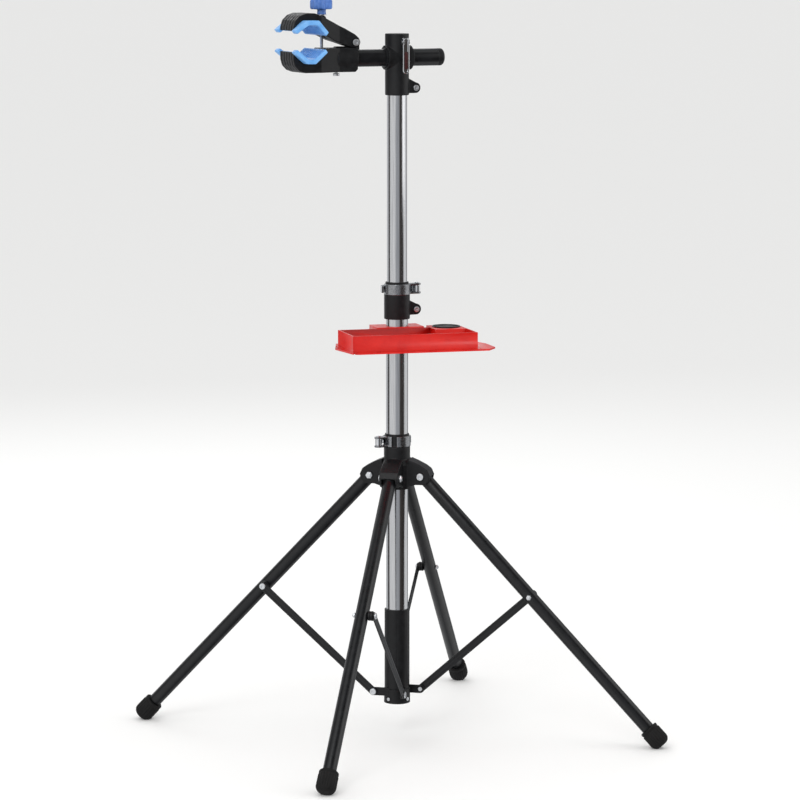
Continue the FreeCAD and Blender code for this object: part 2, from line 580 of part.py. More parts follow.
def head_lever():
    """Cam lever that hangs down the front of the head when closed."""
    across, height = SIZES["skewer_reach"], SIZES["skewer_z"]
    depth, half = SIZES["skewer_pin_depth"], SIZES["cam_width"] / 2
    eye = cylinder("Sizes.cam_radius", "Sizes.cam_width", (across - half, -depth, height), ALONG_X)
    blade = block("Sizes.cam_width", "Sizes.lever_thick", "Sizes.head_lever_length",
                  (across - half, -depth - 5, height - SIZES["head_lever_length"]))
    tip = cylinder("Sizes.cam_width / 2", "Sizes.lever_thick",
                   (across, -depth - 5, height - SIZES["head_lever_length"]), ALONG_Y)
    pin_hole = cylinder("Sizes.ring_pin_radius + Sizes.pin_gap", "60", (across - 30, -depth, height),
                        ALONG_X)
    rod_slot = block("7.2", "40", "40", (across - 3.6, -depth - 5.4, height - 3.6))
    keep(cut(fuse(eye, blade, tip), pin_hole, rod_slot), "head_lever")


# ---------------------------------------------------------------- arm

def arm():
    height = SIZES["arm_z"]
    start, length = SIZES["arm_start"], SIZES["arm_length"]
    pipe = tube("Arm", "Sizes.arm_radius", "Sizes.arm_bore", "Sizes.arm_length", (start, 0, height), ALONG_X)
    bolt_x = SIZES["jaw_bolt_x"]
    hole = cylinder("Sizes.screw_radius", "40", (bolt_x, 0, height - 40))
    keep(cut(pipe, hole), "arm_tube")
    plug = cylinder("Sizes.arm_bore", "Sizes.cap_plug", (start + length - SIZES["cap_plug"], 0, height),
                    ALONG_X)
    cap = cylinder("Sizes.arm_radius", "Sizes.cap_length", (start + length, 0, height), ALONG_X)
    rim = doc.addObject("Part::Fillet", "CapRound")
    rim.Base = cap
    doc.recompute()
    far = max(range(len(cap.Shape.Edges)),
              key=lambda i: cap.Shape.Edges[i].BoundBox.Center.x if cap.Shape.Edges[i].Closed else -999)
    rim.Edges = [(far + 1, 6.0, 6.0)]
    keep(fuse(plug, rim), "arm_end_cap")
    keep(tube("Liner", "Sizes.liner_outer", "Sizes.liner_inner", "Sizes.liner_length",
              (SIZES["liner_start"], 0, height), ALONG_X), "arm_liner")


# ---------------------------------------------------------------- clamp

def jaw_plan():
    """Outline of a jaw from above: wide over the pads and narrow at the hinge."""
    half, neck = "Sizes.jaw_half", "Sizes.jaw_neck_half"
    return [("Sizes.nose_x", f"-{half}"), ("Sizes.rod_x - 14", f"-{half}"),
            ("Sizes.hinge_x - 32", f"-{neck}"), ("Sizes.hinge_x + 20", f"-{neck}"),
            ("Sizes.hinge_x + 20", neck), ("Sizes.hinge_x - 32", neck),
            ("Sizes.rod_x - 14", half), ("Sizes.nose_x", half)]


def shape_jaw(name, side_outline):
    """Cross the side view of a jaw with its plan view."""
    side = extruded(name + "Side", "XZ", side_outline, "Sizes.pad_width", both_ways=True)
    plan = extruded(name + "Plan", "XY", jaw_plan(), "Sizes.head_top_z * 3", both_ways=True)
    return common(side, plan)


def rib_grooves(outline):
    """Grooves across the quarter-round nose: one thin slice of the outline for each."""
    count = int(2 * SIZES["jaw_half"] / SIZES["rib_pitch"])
    first = -(count - 1) / 2 * SIZES["rib_pitch"]
    return [place(extruded("Groove", "XZ", outline, "Sizes.rib_width"),
                  (0, first + i * SIZES["rib_pitch"], 0)) for i in range(count)]


def upper_jaw():
    """Hinged jaw; a rounded rocker in its top carries the washer at any opening."""
    nose, top = "Sizes.nose_x", "Sizes.upper_top"
    outline = [(nose, "1350"), ("Sizes.lip_x", "1350"), ("Sizes.lip_x", "1358.5"), ("-202.5", "1369.3"),
               ("-177.5", "1369.3"), ("-158.6", "1347.3"), ("-154", "1340.5"), ("-136", "1331"),
               ("-104", "1320"), ("-94", "Sizes.hinge_z - Sizes.knuckle_radius + 0.5"),
               ("-84", "Sizes.hinge_z - Sizes.knuckle_radius + 2"),
               ("-81", "Sizes.hinge_z"), ("-84", "Sizes.hinge_z + 8"), ("-92", "Sizes.hinge_z + 15"),
               ("-112", "1353"), ("-162", "1376"), ("-178", top), ("-196", top), ("-208", f"{top} - 4"),
               ("-217.5", f"{top} - 13"), (nose, f"{top} - 25")]
    groove = [(f"{nose} - 5", "1345"), (f"{nose} + 3", "1345"), (f"{nose} + 3", f"{top} - 24"),
              ("-215", f"{top} - 14.5"), ("-206.5", f"{top} - 6.5"), ("-195", f"{top} - 2.8"),
              ("-186", top), ("-186", f"{top} + 5"), (f"{nose} - 5", f"{top} + 5")]
    hinge_hole = cylinder("Sizes.hinge_radius + Sizes.pin_gap", "100",
                          (SIZES["hinge_x"], -50, SIZES["hinge_z"]), ALONG_Y)
    knuckle = SIZES["knuckle_half"] + 0.5
    gap = block("45", "Sizes.knuckle_half * 2 + 1", "60", (SIZES["hinge_x"] - 22, -knuckle, 1305))
    slot_x = SIZES["rod_x"] - SIZES["rod_slot"] / 2
    slot = block("Sizes.rod_slot", "Sizes.rod_slot_width", "90", (slot_x, -SIZES["rod_slot_width"] / 2, 1310))
    reach = SIZES["washer_radius"]
    seat = block("36", "Sizes.washer_radius * 2 + 6", "20",
                 (SIZES["rod_x"] - 20, -reach - 3, SIZES["rocker_z"] + 2.7))
    rocker = cylinder("Sizes.rocker_radius", "Sizes.washer_radius * 2",
                      (SIZES["rod_x"], -reach, SIZES["rocker_z"]), ALONG_Y)
    blank = fuse(cut(shape_jaw("Upper", outline), seat), rocker)
    keep(cut(blank, hinge_hole, gap, slot, *rib_grooves(groove)), "upper_jaw")


def lower_jaw():
    """Fixed jaw on the end of the arm, with the hinge knuckle and the rod's trunnion."""
    nose, floor = "Sizes.nose_x", "Sizes.lower_floor"
    outline = [(nose, "1311"), ("Sizes.lip_x", "1311"), ("Sizes.lip_x", "1302"), ("-200", "1289"),
               ("-184", "1289"), ("-160.5", "1310"), ("-154", "Sizes.lower_deck"),
               ("-86", "Sizes.lower_deck"), ("-86", f"{floor} + 5"), ("-91", floor),
               ("-198", floor), ("-210", f"{floor} + 4"), ("-218.5", f"{floor} + 13"),
               (nose, f"{floor} + 24")]
    groove = [(f"{nose} - 5", "1315"), (f"{nose} + 3", "1315"), (f"{nose} + 3", f"{floor} + 23"),
              ("-216", f"{floor} + 14.5"), ("-208.5", f"{floor} + 6.5"), ("-197", f"{floor} + 2.8"),
              ("-189", floor), ("-189", f"{floor} - 5"), (f"{nose} - 5", f"{floor} - 5")]
    hinge = (SIZES["hinge_x"], -SIZES["knuckle_half"], SIZES["hinge_z"])
    lug = block("22", "Sizes.knuckle_half * 2", "Sizes.hinge_z - Sizes.lower_deck + 4",
                (SIZES["hinge_x"] - 11, -SIZES["knuckle_half"], SIZES["lower_deck"] - 4))
    knuckle = cylinder("Sizes.knuckle_radius + 1.5", "Sizes.knuckle_half * 2", hinge, ALONG_Y)
    cheek = cylinder("Sizes.boss_radius - 0.5", "40", (-126, 0, SIZES["arm_z"]), ALONG_X)
    pin_hole = cylinder("Sizes.hinge_radius", "100", (SIZES["hinge_x"], -50, SIZES["hinge_z"]), ALONG_Y)
    socket = cylinder("Sizes.arm_radius", "100", (SIZES["arm_start"], 0, SIZES["arm_z"]), ALONG_X)
    rod_hole = cylinder("Sizes.rod_radius + 0.4", "60", (SIZES["rod_x"], 0, SIZES["arm_z"] - 12))
    trunnion_hole = cylinder("Sizes.trunnion_radius", "Sizes.trunnion_length",
                             (SIZES["rod_x"], -SIZES["trunnion_length"] / 2, SIZES["arm_z"]), ALONG_Y)
    bolt_hole = cylinder("Sizes.screw_radius", "30", (SIZES["jaw_bolt_x"], 0, SIZES["lower_floor"] - 10))
    keep(cut(fuse(shape_jaw("Lower", outline), lug, knuckle, cheek), pin_hole, socket, rod_hole,
             trunnion_hole, bolt_hole, *rib_grooves(groove)), "lower_jaw")


def jaw_pad(label, outline):
    """V-shaped pad; between the jaw's cheeks its front edge stops behind the jaw's lip."""
    notch = block("30", "Sizes.jaw_half * 2 + 0.4", "80",
                  (SIZES["lip_x"] - 29.9, -SIZES["jaw_half"] - 0.2, 1290))
    keep(cut(extruded("Pad", "XZ", outline, "Sizes.pad_width"), notch), label)


def jaw_pads():
    jaw_pad("upper_pad", [("-226", "1350.5"), ("-202.5", "1369.2"), ("-177.5", "1369.2"),
                          ("-158.7", "1347.2"), ("-163.5", "1340.5"), ("-181", "1360.5"),
                          ("-198.5", "1360.5"), ("-221", "1344.5")])
    jaw_pad("lower_pad", [("-226", "1310.2"), ("-200", "1289.1"), ("-184", "1289.1"),
                          ("-160.6", "1310.1"), ("-165", "1316.5"), ("-187", "1297.5"),
                          ("-198", "1297.5"), ("-220.5", "1316")])


def clamp_hardware():
    """Hinge pin, fixing bolt, trunnion, threaded rod, thrust washer and the lobed knob."""
    hinge = cross_bolt("Sizes.hinge_radius", "Sizes.jaw_neck_half * 2 + 1", "Sizes.hinge_radius * 1.6", "4")
    keep(place(hinge, (SIZES["hinge_x"], 0, SIZES["hinge_z"]), ALONG_Y), "jaw_hinge_bolt")
    bolt = cross_bolt("Sizes.screw_radius", "14.2", "Sizes.screw_radius * 2", "5")
    keep(place(bolt, (SIZES["jaw_bolt_x"], 0, SIZES["lower_floor"] + 4.6)), "jaw_fixing_bolt")
    across = SIZES["rod_x"]
    barrel = cylinder("Sizes.trunnion_radius", "Sizes.trunnion_length",
                      (across, -SIZES["trunnion_length"] / 2, SIZES["arm_z"]), ALONG_Y)
    thread = cylinder("Sizes.rod_radius", "100", (across, 0, SIZES["rod_foot_z"] - 20))
    keep(cut(barrel, thread), "clamp_trunnion")
    keep(cylinder("Sizes.rod_radius", "Sizes.rod_length", (across, 0, SIZES["rod_foot_z"])), "clamp_rod")
    washer_z = SIZES["knob_hub_z"] - SIZES["washer_thick"] - 0.1
    keep(tube("Washer", "Sizes.washer_radius", "Sizes.rod_radius + Sizes.slide_gap",
              "Sizes.washer_thick", (across, 0, washer_z)), "thrust_washer")


def clamp_knob():
    """Lobed knob with a neck and a blind bore for the rod."""
    body = turned("Knob", [
        ("Sizes.rod_radius + Sizes.slide_gap", "Sizes.knob_hub_z"),
        ("Sizes.knob_hub", "Sizes.knob_hub_z"), ("Sizes.knob_hub", "Sizes.knob_foot_z"),
        ("Sizes.knob_radius - 2", "Sizes.knob_foot_z"), ("Sizes.knob_radius", "Sizes.knob_foot_z + 3"),
        ("Sizes.knob_radius", "Sizes.knob_top_z - 3"), ("Sizes.knob_radius - 3", "Sizes.knob_top_z"),
        ("0", "Sizes.knob_top_z"), ("0", "Sizes.knob_bore_top_z"),
        ("Sizes.rod_radius + Sizes.slide_gap", "Sizes.knob_bore_top_z")])
    doc.recompute()
    scallop = new_sketch(body, "XY")
    draw_circle(scallop, "Sizes.knob_scallop", "Sizes.knob_radius + 3.5")
    around(body, pocket(body, scallop, "Sizes.head_top_z * 3", both_ways=True), 7)
    keep(place(body, (SIZES["rod_x"], 0, 0)), "clamp_knob")


# ---------------------------------------------------------------- tool tray

def plate_hole(left, front, length, width):
    return block(length, width, "30", (left, front, SIZES["plate_z"] - 10))


def tool_tray():
    """Moulded tray: a plate with tool holes, a walled box in front and a housing round the column."""
    plate_z, rim = SIZES["plate_z"], SIZES["rim_z"]
    outline = [("Sizes.flange_left", "-60"), ("Sizes.flange_left + 12", "Sizes.flange_front + 6"),
               ("Sizes.flange_left + 24", "Sizes.flange_front"),
               ("Sizes.flange_right - 20", "Sizes.flange_front"),
               ("Sizes.flange_right", "-120"), ("Sizes.flange_right", "-60"),
               ("Sizes.flange_right - 22", "Sizes.flange_back - 12"), ("60", "Sizes.flange_back"),
               ("-60", "Sizes.flange_back"), ("Sizes.flange_left + 20", "Sizes.flange_back - 20")]
    plate = extruded("TrayPlate", "XY", outline, "Sizes.plate_thick", both_ways=False)
    place(plate, (0, 0, plate_z))
    walls = block("Sizes.box_right - Sizes.box_left", "Sizes.box_back - Sizes.box_front",
                  "Sizes.rim_z - Sizes.plate_z", (SIZES["box_left"], SIZES["box_front"], plate_z))
    housing = block("Sizes.housing_half * 2", "Sizes.flange_back - Sizes.box_back + 2",
                    "Sizes.housing_z - Sizes.plate_z",
                    (-SIZES["housing_half"], SIZES["box_back"] - 2, plate_z))
    platform = block("Sizes.box_right - Sizes.platform_left", "Sizes.platform_back - Sizes.platform_front",
                     "Sizes.rim_z - Sizes.plate_z",
                     (SIZES["platform_left"], SIZES["platform_front"], plate_z))
    collar = cylinder("Sizes.tray_collar", "30", (0, 0, SIZES["tray_collar_z"]))
    wall, base = SIZES["wall"], plate_z + SIZES["plate_thick"]
    open_left = block("Sizes.platform_left - Sizes.box_left - Sizes.wall * 2",
                      "Sizes.box_back - Sizes.box_front - Sizes.wall * 2", "60",
                      (SIZES["box_left"] + wall, SIZES["box_front"] + wall, base))
    open_right = block("Sizes.box_right - Sizes.box_left - Sizes.wall * 2",
                       "Sizes.platform_front - Sizes.box_front - Sizes.wall * 2", "60",
                       (SIZES["box_left"] + wall, SIZES["box_front"] + wall, base))
    under = block("Sizes.box_right - Sizes.platform_left - Sizes.wall * 2",
                  "Sizes.platform_back - Sizes.platform_front - Sizes.wall * 2",
                  "Sizes.rim_z - Sizes.plate_z - 4.5",
                  (SIZES["platform_left"] + wall, SIZES["platform_front"] + wall, plate_z - 0.5))
    bore = cylinder("Sizes.lower_radius + Sizes.slide_gap", "100", (0, 0, plate_z - 40))
    seat = cylinder("Sizes.dish_radius", "20", (SIZES["dish_x"], SIZES["dish_y"], rim - SIZES["dish_depth"]))
    thumb = cylinder("Sizes.screw_radius", "20", (0, SIZES["flange_back"] - 12, 772), ALONG_Y)
    holes = [plate_hole(x, SIZES["flange_front"] + 4, "10", "9") for x in (-123, -79)]
    holes += [plate_hole(x, SIZES["flange_front"] + 5, "16", "6") for x in (-20, 22)]
    holes += [plate_hole(x, SIZES["flange_front"] + 6, "4", "4") for x in (70, 87, 104, 121)]
    holes.append(plate_hole(-133, -40, "7", "12"))
    solid = cut(fuse(plate, walls, housing, platform, collar), open_left, open_right, under, bore, seat,
                thumb, *holes)
    divider = block("Sizes.wall", "Sizes.box_back - Sizes.box_front - 2", "Sizes.divider_z - Sizes.plate_z",
                    (SIZES["divider_x"], SIZES["box_front"] + 1, plate_z))
    turned_tray = turn((0, 0, 1), SIZES["tray_turn"])
    keep(place(fuse(solid, divider), how=turned_tray), "tool_tray")


def tray_fittings():
    """Round magnetic dish on the platform and the thumb screw behind the column."""
    swing = turn((0, 0, 1), SIZES["tray_turn"])
    base_z = SIZES["rim_z"] - SIZES["dish_depth"]
    disc = cylinder("Sizes.dish_radius", "Sizes.dish_height")
    hollow = cylinder("Sizes.dish_radius - 3", "20", (0, 0, 1.6))
    spot = swing.multVec(Vector(SIZES["dish_x"], SIZES["dish_y"], base_z))
    keep(place(cut(disc, hollow), spot, swing), "magnetic_dish")
    shank = cylinder("Sizes.screw_radius", "Sizes.thumb_length + 8", (0, SIZES["lower_radius"] + 0.4, 772),
                     ALONG_Y)
    head = cylinder("Sizes.thumb_radius", "Sizes.thumb_length", (0, SIZES["flange_back"] + 1.5, 772), ALONG_Y)
    keep(place(fuse(shank, head), how=swing), "tray_thumb_screw")


# ---------------------------------------------------------------- checks and export

def check_and_write():
    """Stop on any failed object or bad shape, then write one file per sub-part."""
    doc.recompute()
    for item in doc.Objects:
        if "Invalid" in item.State or "Error" in item.State:
            raise RuntimeError(f"{item.Name} ({item.Label}) failed: {item.State}")
    os.makedirs("parts", exist_ok=True)
    for item in PART_NODES:
        if item.Shape.isNull() or not item.Shape.isValid():
            raise RuntimeError(item.Label + " has no valid shape")
        item.Shape.exportStep(f"parts/{item.Label}.step")
        print(f"{item.Label}: {len(item.Shape.Solids)} solid(s), {item.Shape.Volume / 1000:.2f} cm3")


make_sheet()
column()
bottom_hub()
hub_fasteners()
crown()
leg_pivot_bolts()
clamp_ring("crown_ring", "Sizes.crown_ring_radius", "Sizes.collet_radius", SIZES["neck_top_z"], 190)
ring_lever("crown_ring_lever", "Sizes.crown_ring_radius", SIZES["neck_top_z"], 190)
for leg_side, leg_azimuth in LEGS.items():
    leg(leg_side, leg_azimuth)
    stay(leg_side, leg_azimuth)
middle_collar()
clamp_ring("middle_ring", "Sizes.mid_ring_radius", "Sizes.mid_collet_radius", SIZES["lower_top_z"], 0)
ring_lever("middle_ring_lever", "Sizes.mid_ring_radius", SIZES["lower_top_z"], 0)
mast()
head_block()
head_skewer()
head_lever()
arm()
upper_jaw()
lower_jaw()
jaw_pads()
clamp_hardware()
clamp_knob()
tool_tray()
tray_fittings()
check_and_write()
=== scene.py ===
"""Bike repair stand: the visual model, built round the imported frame."""

import json
import logging
import math
from dataclasses import dataclass
from enum import Enum
from typing import Iterable, Sequence

import bmesh
import bpy
from mathutils import Matrix, Vector


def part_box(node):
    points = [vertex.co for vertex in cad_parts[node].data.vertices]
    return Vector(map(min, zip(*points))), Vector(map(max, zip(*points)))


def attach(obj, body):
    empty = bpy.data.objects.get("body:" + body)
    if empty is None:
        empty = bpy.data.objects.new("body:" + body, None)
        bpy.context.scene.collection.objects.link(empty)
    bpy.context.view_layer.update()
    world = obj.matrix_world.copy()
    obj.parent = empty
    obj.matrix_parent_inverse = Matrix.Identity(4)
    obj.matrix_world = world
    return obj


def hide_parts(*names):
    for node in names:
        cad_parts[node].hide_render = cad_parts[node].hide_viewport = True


logging.basicConfig(level=logging.INFO, format="%(message)s")
log = logging.getLogger("stand")

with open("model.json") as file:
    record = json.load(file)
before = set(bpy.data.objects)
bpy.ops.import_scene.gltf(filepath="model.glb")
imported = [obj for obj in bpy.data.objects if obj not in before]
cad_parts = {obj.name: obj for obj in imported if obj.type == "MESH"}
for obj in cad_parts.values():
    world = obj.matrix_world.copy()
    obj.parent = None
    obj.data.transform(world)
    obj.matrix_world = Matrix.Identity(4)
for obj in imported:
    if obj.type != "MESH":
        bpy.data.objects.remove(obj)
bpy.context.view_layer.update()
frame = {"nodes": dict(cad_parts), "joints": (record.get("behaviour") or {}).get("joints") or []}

MM = 0.001
SIDES = ("back", "left", "front", "right")
JOINTS = {joint["name"]: joint for joint in frame["joints"]}
Shape = bmesh.types.BMesh
UP = Vector((0, 0, 1))
REARWARD = Vector((0, 1, 0))
FORWARD = Vector((0, -1, 0))


# ------------------------------------------------------------------ places read from the frame

@dataclass(frozen=True)
class Extent:
    """The box of one CAD node at rest, in millimetres."""

    low: Vector
    high: Vector

    @classmethod
    def of(cls, node: str) -> "Extent":
        """Read a node's box from the frame.

        Args:
            node: name of the CAD node.

        Returns:
            The node's box in millimetres.
        """
        low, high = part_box(node)
        return cls(Vector(low) / MM, Vector(high) / MM)

    @property
    def middle(self) -> Vector:
        """Centre of the box."""
        return (self.low + self.high) / 2

    @property
    def size(self) -> Vector:
        """Length of the box along X, Y and Z."""
        return self.high - self.low


def joint_point(name: str) -> Vector:
    """Place of a joint at rest, in millimetres."""
    return Vector(JOINTS[name]["pos_m"]) / MM


def joint_axis(name: str) -> Vector:
    """Direction of a joint's axis."""
    return Vector(JOINTS[name]["axis"]).normalized()


def outward(point: Vector, swing: float = 0.0) -> Vector:
    """Level direction away from the column through a point, swung round Z by some degrees."""
    flat = Vector((point.x, point.y, 0)).normalized()
    return Matrix.Rotation(math.radians(swing), 3, "Z") @ flat


def axes_matrix(origin: Vector, up: Vector, across: Vector) -> Matrix:
    """Make a placement from two directions.

    Args:
        origin: where the local origin goes, in millimetres.
        up: where local +Z points.
        across: the side that local +Y leans to.

    Returns:
        The placement matrix.
    """
    z_axis = up.normalized()
    x_axis = across.cross(z_axis).normalized()
    y_axis = z_axis.cross(x_axis)
    turn = Matrix((x_axis, y_axis, z_axis)).transposed().to_4x4()
    return Matrix.Translation(origin) @ turn


# ------------------------------------------------------------------ shapes in millimetres

class Axis(Enum):
    """Which way a turned shape points."""

    UP = Matrix.Identity(4)
    ALONG_X = Matrix.Rotation(math.pi / 2, 4, "Y")
    ALONG_Y = Matrix.Rotation(-math.pi / 2, 4, "X")


def tidy_normals(shape: Shape) -> None:
    """Merge doubled points and point every face outwards."""
    bmesh.ops.remove_doubles(shape, verts=shape.verts, dist=0.002)
    bmesh.ops.recalc_face_normals(shape, faces=shape.faces)


def lathe(outline: Sequence[tuple[float, float]], steps: int = 96, ripple: float = 0.0,
          lobes: int = 0) -> Shape:
    """Spin an outline round Z into a closed shape.

    Args:
        outline: (radius, height) pairs; the first and last lie on the axis or form a loop.
        steps: how many segments the spin has.
        ripple: how deep the lobes cut into the radius.
        lobes: how many lobes run round the shape.

    Returns:
        The turned shape.
    """
    shape = bmesh.new()
    points = [shape.verts.new((radius, 0.0, height)) for radius, height in outline]
    edges = [shape.edges.new(pair) for pair in zip(points, points[1:])]
    if outline[0][0] > 0 and outline[-1][0] > 0:
        edges.append(shape.edges.new((points[-1], points[0])))
    bmesh.ops.spin(shape, geom=points + edges, cent=(0, 0, 0), axis=(0, 0, 1), angle=math.tau,
                   steps=steps, use_merge=True)
    tidy_normals(shape)
    if lobes:
        widest = max(radius for radius, _ in outline)
        for point in shape.verts:
            reach = math.hypot(point.co.x, point.co.y)
            wave = 0.5 - 0.5 * math.cos(lobes * math.atan2(point.co.y, point.co.x))
            share = max(0.0, reach / widest - 0.45) / 0.55
            factor = 1 - ripple * share * wave / max(reach, 1e-6)
            point.co.x *= factor
            point.co.y *= factor
    return shape


def rounded_outline(radius: float, low: float, high: float, edge: float,
                    bore: float = 0.0) -> list[tuple[float, float]]:
    """Outline of a turned ring or rod with rounded rims, from its inner side round to it again."""
    arc = [i * math.pi / 8 for i in range(5)]
    top = [(radius - edge + edge * math.cos(a), high - edge + edge * math.sin(a)) for a in arc]
    foot = [(radius - edge + edge * math.sin(a), low + edge - edge * math.cos(a)) for a in arc]
    return [(bore, low), *foot, *top, (bore, high)]


def plate(corners: Sequence[tuple[float, float]], thickness: float, edge: float = 0.0,
          segments: int = 3) -> Shape:
    """Extrude a flat outline upwards and round its rims.

    Args:
        corners: outline in the XY plane.
        thickness: height of the plate; it is centred on Z = 0.
        edge: radius of the rounded rims.
        segments: steps of the rounding.

    Returns:
        The plate.
    """
    shape = bmesh.new()
    face = shape.faces.new([shape.verts.new((x, y, -thickness / 2)) for x, y in corners])
    raised = bmesh.ops.extrude_face_region(shape, geom=[face])
    moved = [item for item in raised["geom"] if isinstance(item, bmesh.types.BMVert)]
    bmesh.ops.translate(shape, verts=moved, vec=(0, 0, thickness))
    tidy_normals(shape)
    if edge:
        rims = [item for item in shape.edges if abs(item.verts[0].co.z - item.verts[1].co.z) < 1e-4]
        soften(shape, rims, edge, segments)
    return shape


def soften(shape: Shape, edges: Iterable[bmesh.types.BMEdge], width: float,
           segments: int = 3) -> None:
    """Bevel the given edges."""
    bmesh.ops.bevel(shape, geom=list(edges), offset=width, segments=segments, profile=0.5,
                    affect="EDGES", clamp_overlap=True, material=-1)


def slot_outline(length: float, width: float, steps: int = 12) -> list[tuple[float, float]]:
    """Outline of a bar with round ends whose end centres are length apart along X."""
    half = width / 2
    right = [(length / 2 + half * math.cos(a), half * math.sin(a))
             for a in (-math.pi / 2 + i * math.pi / steps for i in range(steps + 1))]
    left = [(-x, -y) for x, y in right]
    return right + left


def hex_outline(across_corners: float) -> list[tuple[float, float]]:
    """Corners of a hexagon."""
    return [(across_corners * math.cos(i * math.pi / 3), across_corners * math.sin(i * math.pi / 3))
            for i in range(6)]


def join(*shapes: Shape) -> Shape:
    """Gather several shapes into the first."""
    target = shapes[0]
    for extra in shapes[1:]:
        store = bpy.data.meshes.new("part")
        extra.to_mesh(store)
        target.from_mesh(store)
        bpy.data.meshes.remove(store)
        extra.free()
    return target


def moved(shape: Shape, place: Matrix) -> Shape:
    """Move a shape, turning its faces back out when the placement mirrors it."""
    bmesh.ops.transform(shape, matrix=place, verts=shape.verts)
    if place.determinant() < 0:
        bmesh.ops.reverse_faces(shape, faces=shape.faces)
    return shape


def at(x: float, y: float, z: float, axis: Axis = Axis.UP) -> Matrix:
    """Placement at a point, pointing along an axis."""
    return Matrix.Translation((x, y, z)) @ axis.value


# ------------------------------------------------------------------ finishes

def linear(code: str) -> tuple[float, float, float, float]:
    """Turn an sRGB hex colour into linear red, green, blue and alpha."""
    channels = [int(code[i:i + 2], 16) / 255 for i in (1, 3, 5)]
    return (*(c / 12.92 if c <= 0.04045 else ((c + 0.055) / 1.055) ** 2.4 for c in channels), 1.0)


def per_metre(millimetres: float) -> float:
    """Texture scale whose cells have the given real size."""
    return 1000.0 / millimetres


def add_node(tree: bpy.types.NodeTree, kind: str, settings: dict | None = None,
             links: dict | None = None) -> bpy.types.Node:
    """Add a node with its settings and its incoming links.

    Args:
        tree: the material's node tree.
        kind: the node's type name.
        settings: values of input sockets, or of properties where no socket has that name.
        links: input name to a source, which is a node and the name of its output.

    Returns:
        The new node.
    """
    node = tree.nodes.new(kind)
    for name, value in (settings or {}).items():
        if hasattr(node, name):
            setattr(node, name, value)
        else:
            node.inputs[name].default_value = value
    for name, (source, output) in (links or {}).items():
        tree.links.new(source.outputs[output], node.inputs[name])
    return node


def stops(ramp: bpy.types.Node, marks: Sequence[tuple[float, str]]) -> None:
    """Set the colours of a colour ramp from positions and hex codes."""
    while len(ramp.color_ramp.elements) < len(marks):
        ramp.color_ramp.elements.new(0.5)
    for element, (position, code) in zip(ramp.color_ramp.elements, marks):
        element.position = position
        element.color = linear(code)


@dataclass(frozen=True)
class Finish:
    """A surface: two close colours mottled together, a roughness range and a fine relief."""

    name: str
    dark: str
    light: str
    mottle_mm: float
    roughness: tuple[float, float]
    grain_mm: float
    relief: float
    stretch: tuple[float, float, float] = (1.0, 1.0, 1.0)
    metallic: float = 0.0
    coat: float = 0.0
    specular: float = 0.5
    pitted: bool = False

    def material(self) -> bpy.types.Material:
        """Build the material, or return the one already built."""
        made = bpy.data.materials.get(self.name)
        if made:
            return made
        made = bpy.data.materials.new(self.name)
        made.use_nodes = True
        tree = made.node_tree
        tree.nodes.clear()
        spot = add_node(tree, "ShaderNodeTexCoord")
        drawn = add_node(tree, "ShaderNodeMapping", {"Scale": self.stretch},
                         {"Vector": (spot, "Object")})
        mottle = add_node(tree, "ShaderNodeTexNoise",
                          {"Scale": per_metre(self.mottle_mm), "Detail": 4.0, "Roughness": 0.6},
                          {"Vector": (drawn, "Vector")})
        colour = add_node(tree, "ShaderNodeValToRGB", links={"Fac": (mottle, "Fac")})
        stops(colour, [(0.3, self.dark), (0.7, self.light)])
        gloss = add_node(tree, "ShaderNodeMapRange",
                         {"From Min": 0.3, "From Max": 0.7, "To Min": self.roughness[0],
                          "To Max": self.roughness[1]}, {"Value": (mottle, "Fac")})
        bump = self.add_relief(tree, drawn)
        shader = add_node(tree, "ShaderNodeBsdfPrincipled",
                          {"Metallic": self.metallic, "Coat Weight": self.coat,
                            "Coat Roughness": 0.12,
                           "Specular IOR Level": self.specular},
                          {"Base Color": (colour, "Color"), "Roughness": (gloss, "Result"),
                           "Normal": (bump, "Normal")})
        add_node(tree, "ShaderNodeOutputMaterial", links={"Surface": (shader, "BSDF")})
        return made

    def add_relief(self, tree: bpy.types.NodeTree, drawn: bpy.types.Node) -> bpy.types.Node:
        """Add the fine relief and return its bump node.

        Args:
            tree: the material's node tree.
            drawn: the mapping node that stretches the pattern.

        Returns:
            The bump node.
        """
        scale = {"Scale": per_metre(self.grain_mm)}
        if self.pitted:
            grain = add_node(tree, "ShaderNodeTexVoronoi", scale, {"Vector": (drawn, "Vector")})
            height = (grain, "Distance")
        else:
            grain = add_node(tree, "ShaderNodeTexNoise", {**scale, "Detail": 3.0},
                             {"Vector": (drawn, "Vector")})
            height = (grain, "Fac")
        return add_node(tree, "ShaderNodeBump", {"Strength": self.relief, "Distance": 0.0003},
                        {"Height": height})


# Drawn stainless tube, polished along its length: fine lines that run with the tube and a soft,
# slightly streaked gloss. The lines are drawn at 0.5 mm, coarser than the real grit, so they show.
STAINLESS = Finish("drawn_stainless", "#B4B5B8", "#D2D3D5", 0.9, (0.1, 0.2), 0.5, 0.06,
                   stretch=(1.0, 1.0, 0.012), metallic=1.0)
# Powder coat on steel tube: a glossy black with the soft orange peel of melted powder.
POWDER = Finish("black_powder_coat", "#0B0C0E", "#141518", 14.0,
                (0.26, 0.36), 1.6, 0.16, specular=0.4)
# Glass-filled nylon, spark-eroded mould: charcoal black, fine even grain, broad soft highlights.
NYLON = Finish("glass_filled_nylon", "#0D0D0F", "#17181A", 9.0,
               (0.4, 0.54), 0.7, 0.35, specular=0.3)
# Moulded rubber feet: dull, slightly greyed black with a fine dusty bloom.
RUBBER = Finish("moulded_rubber", "#0E0E0E", "#1B1A1A", 6.0, (0.6, 0.78), 0.9, 0.5, specular=0.25)
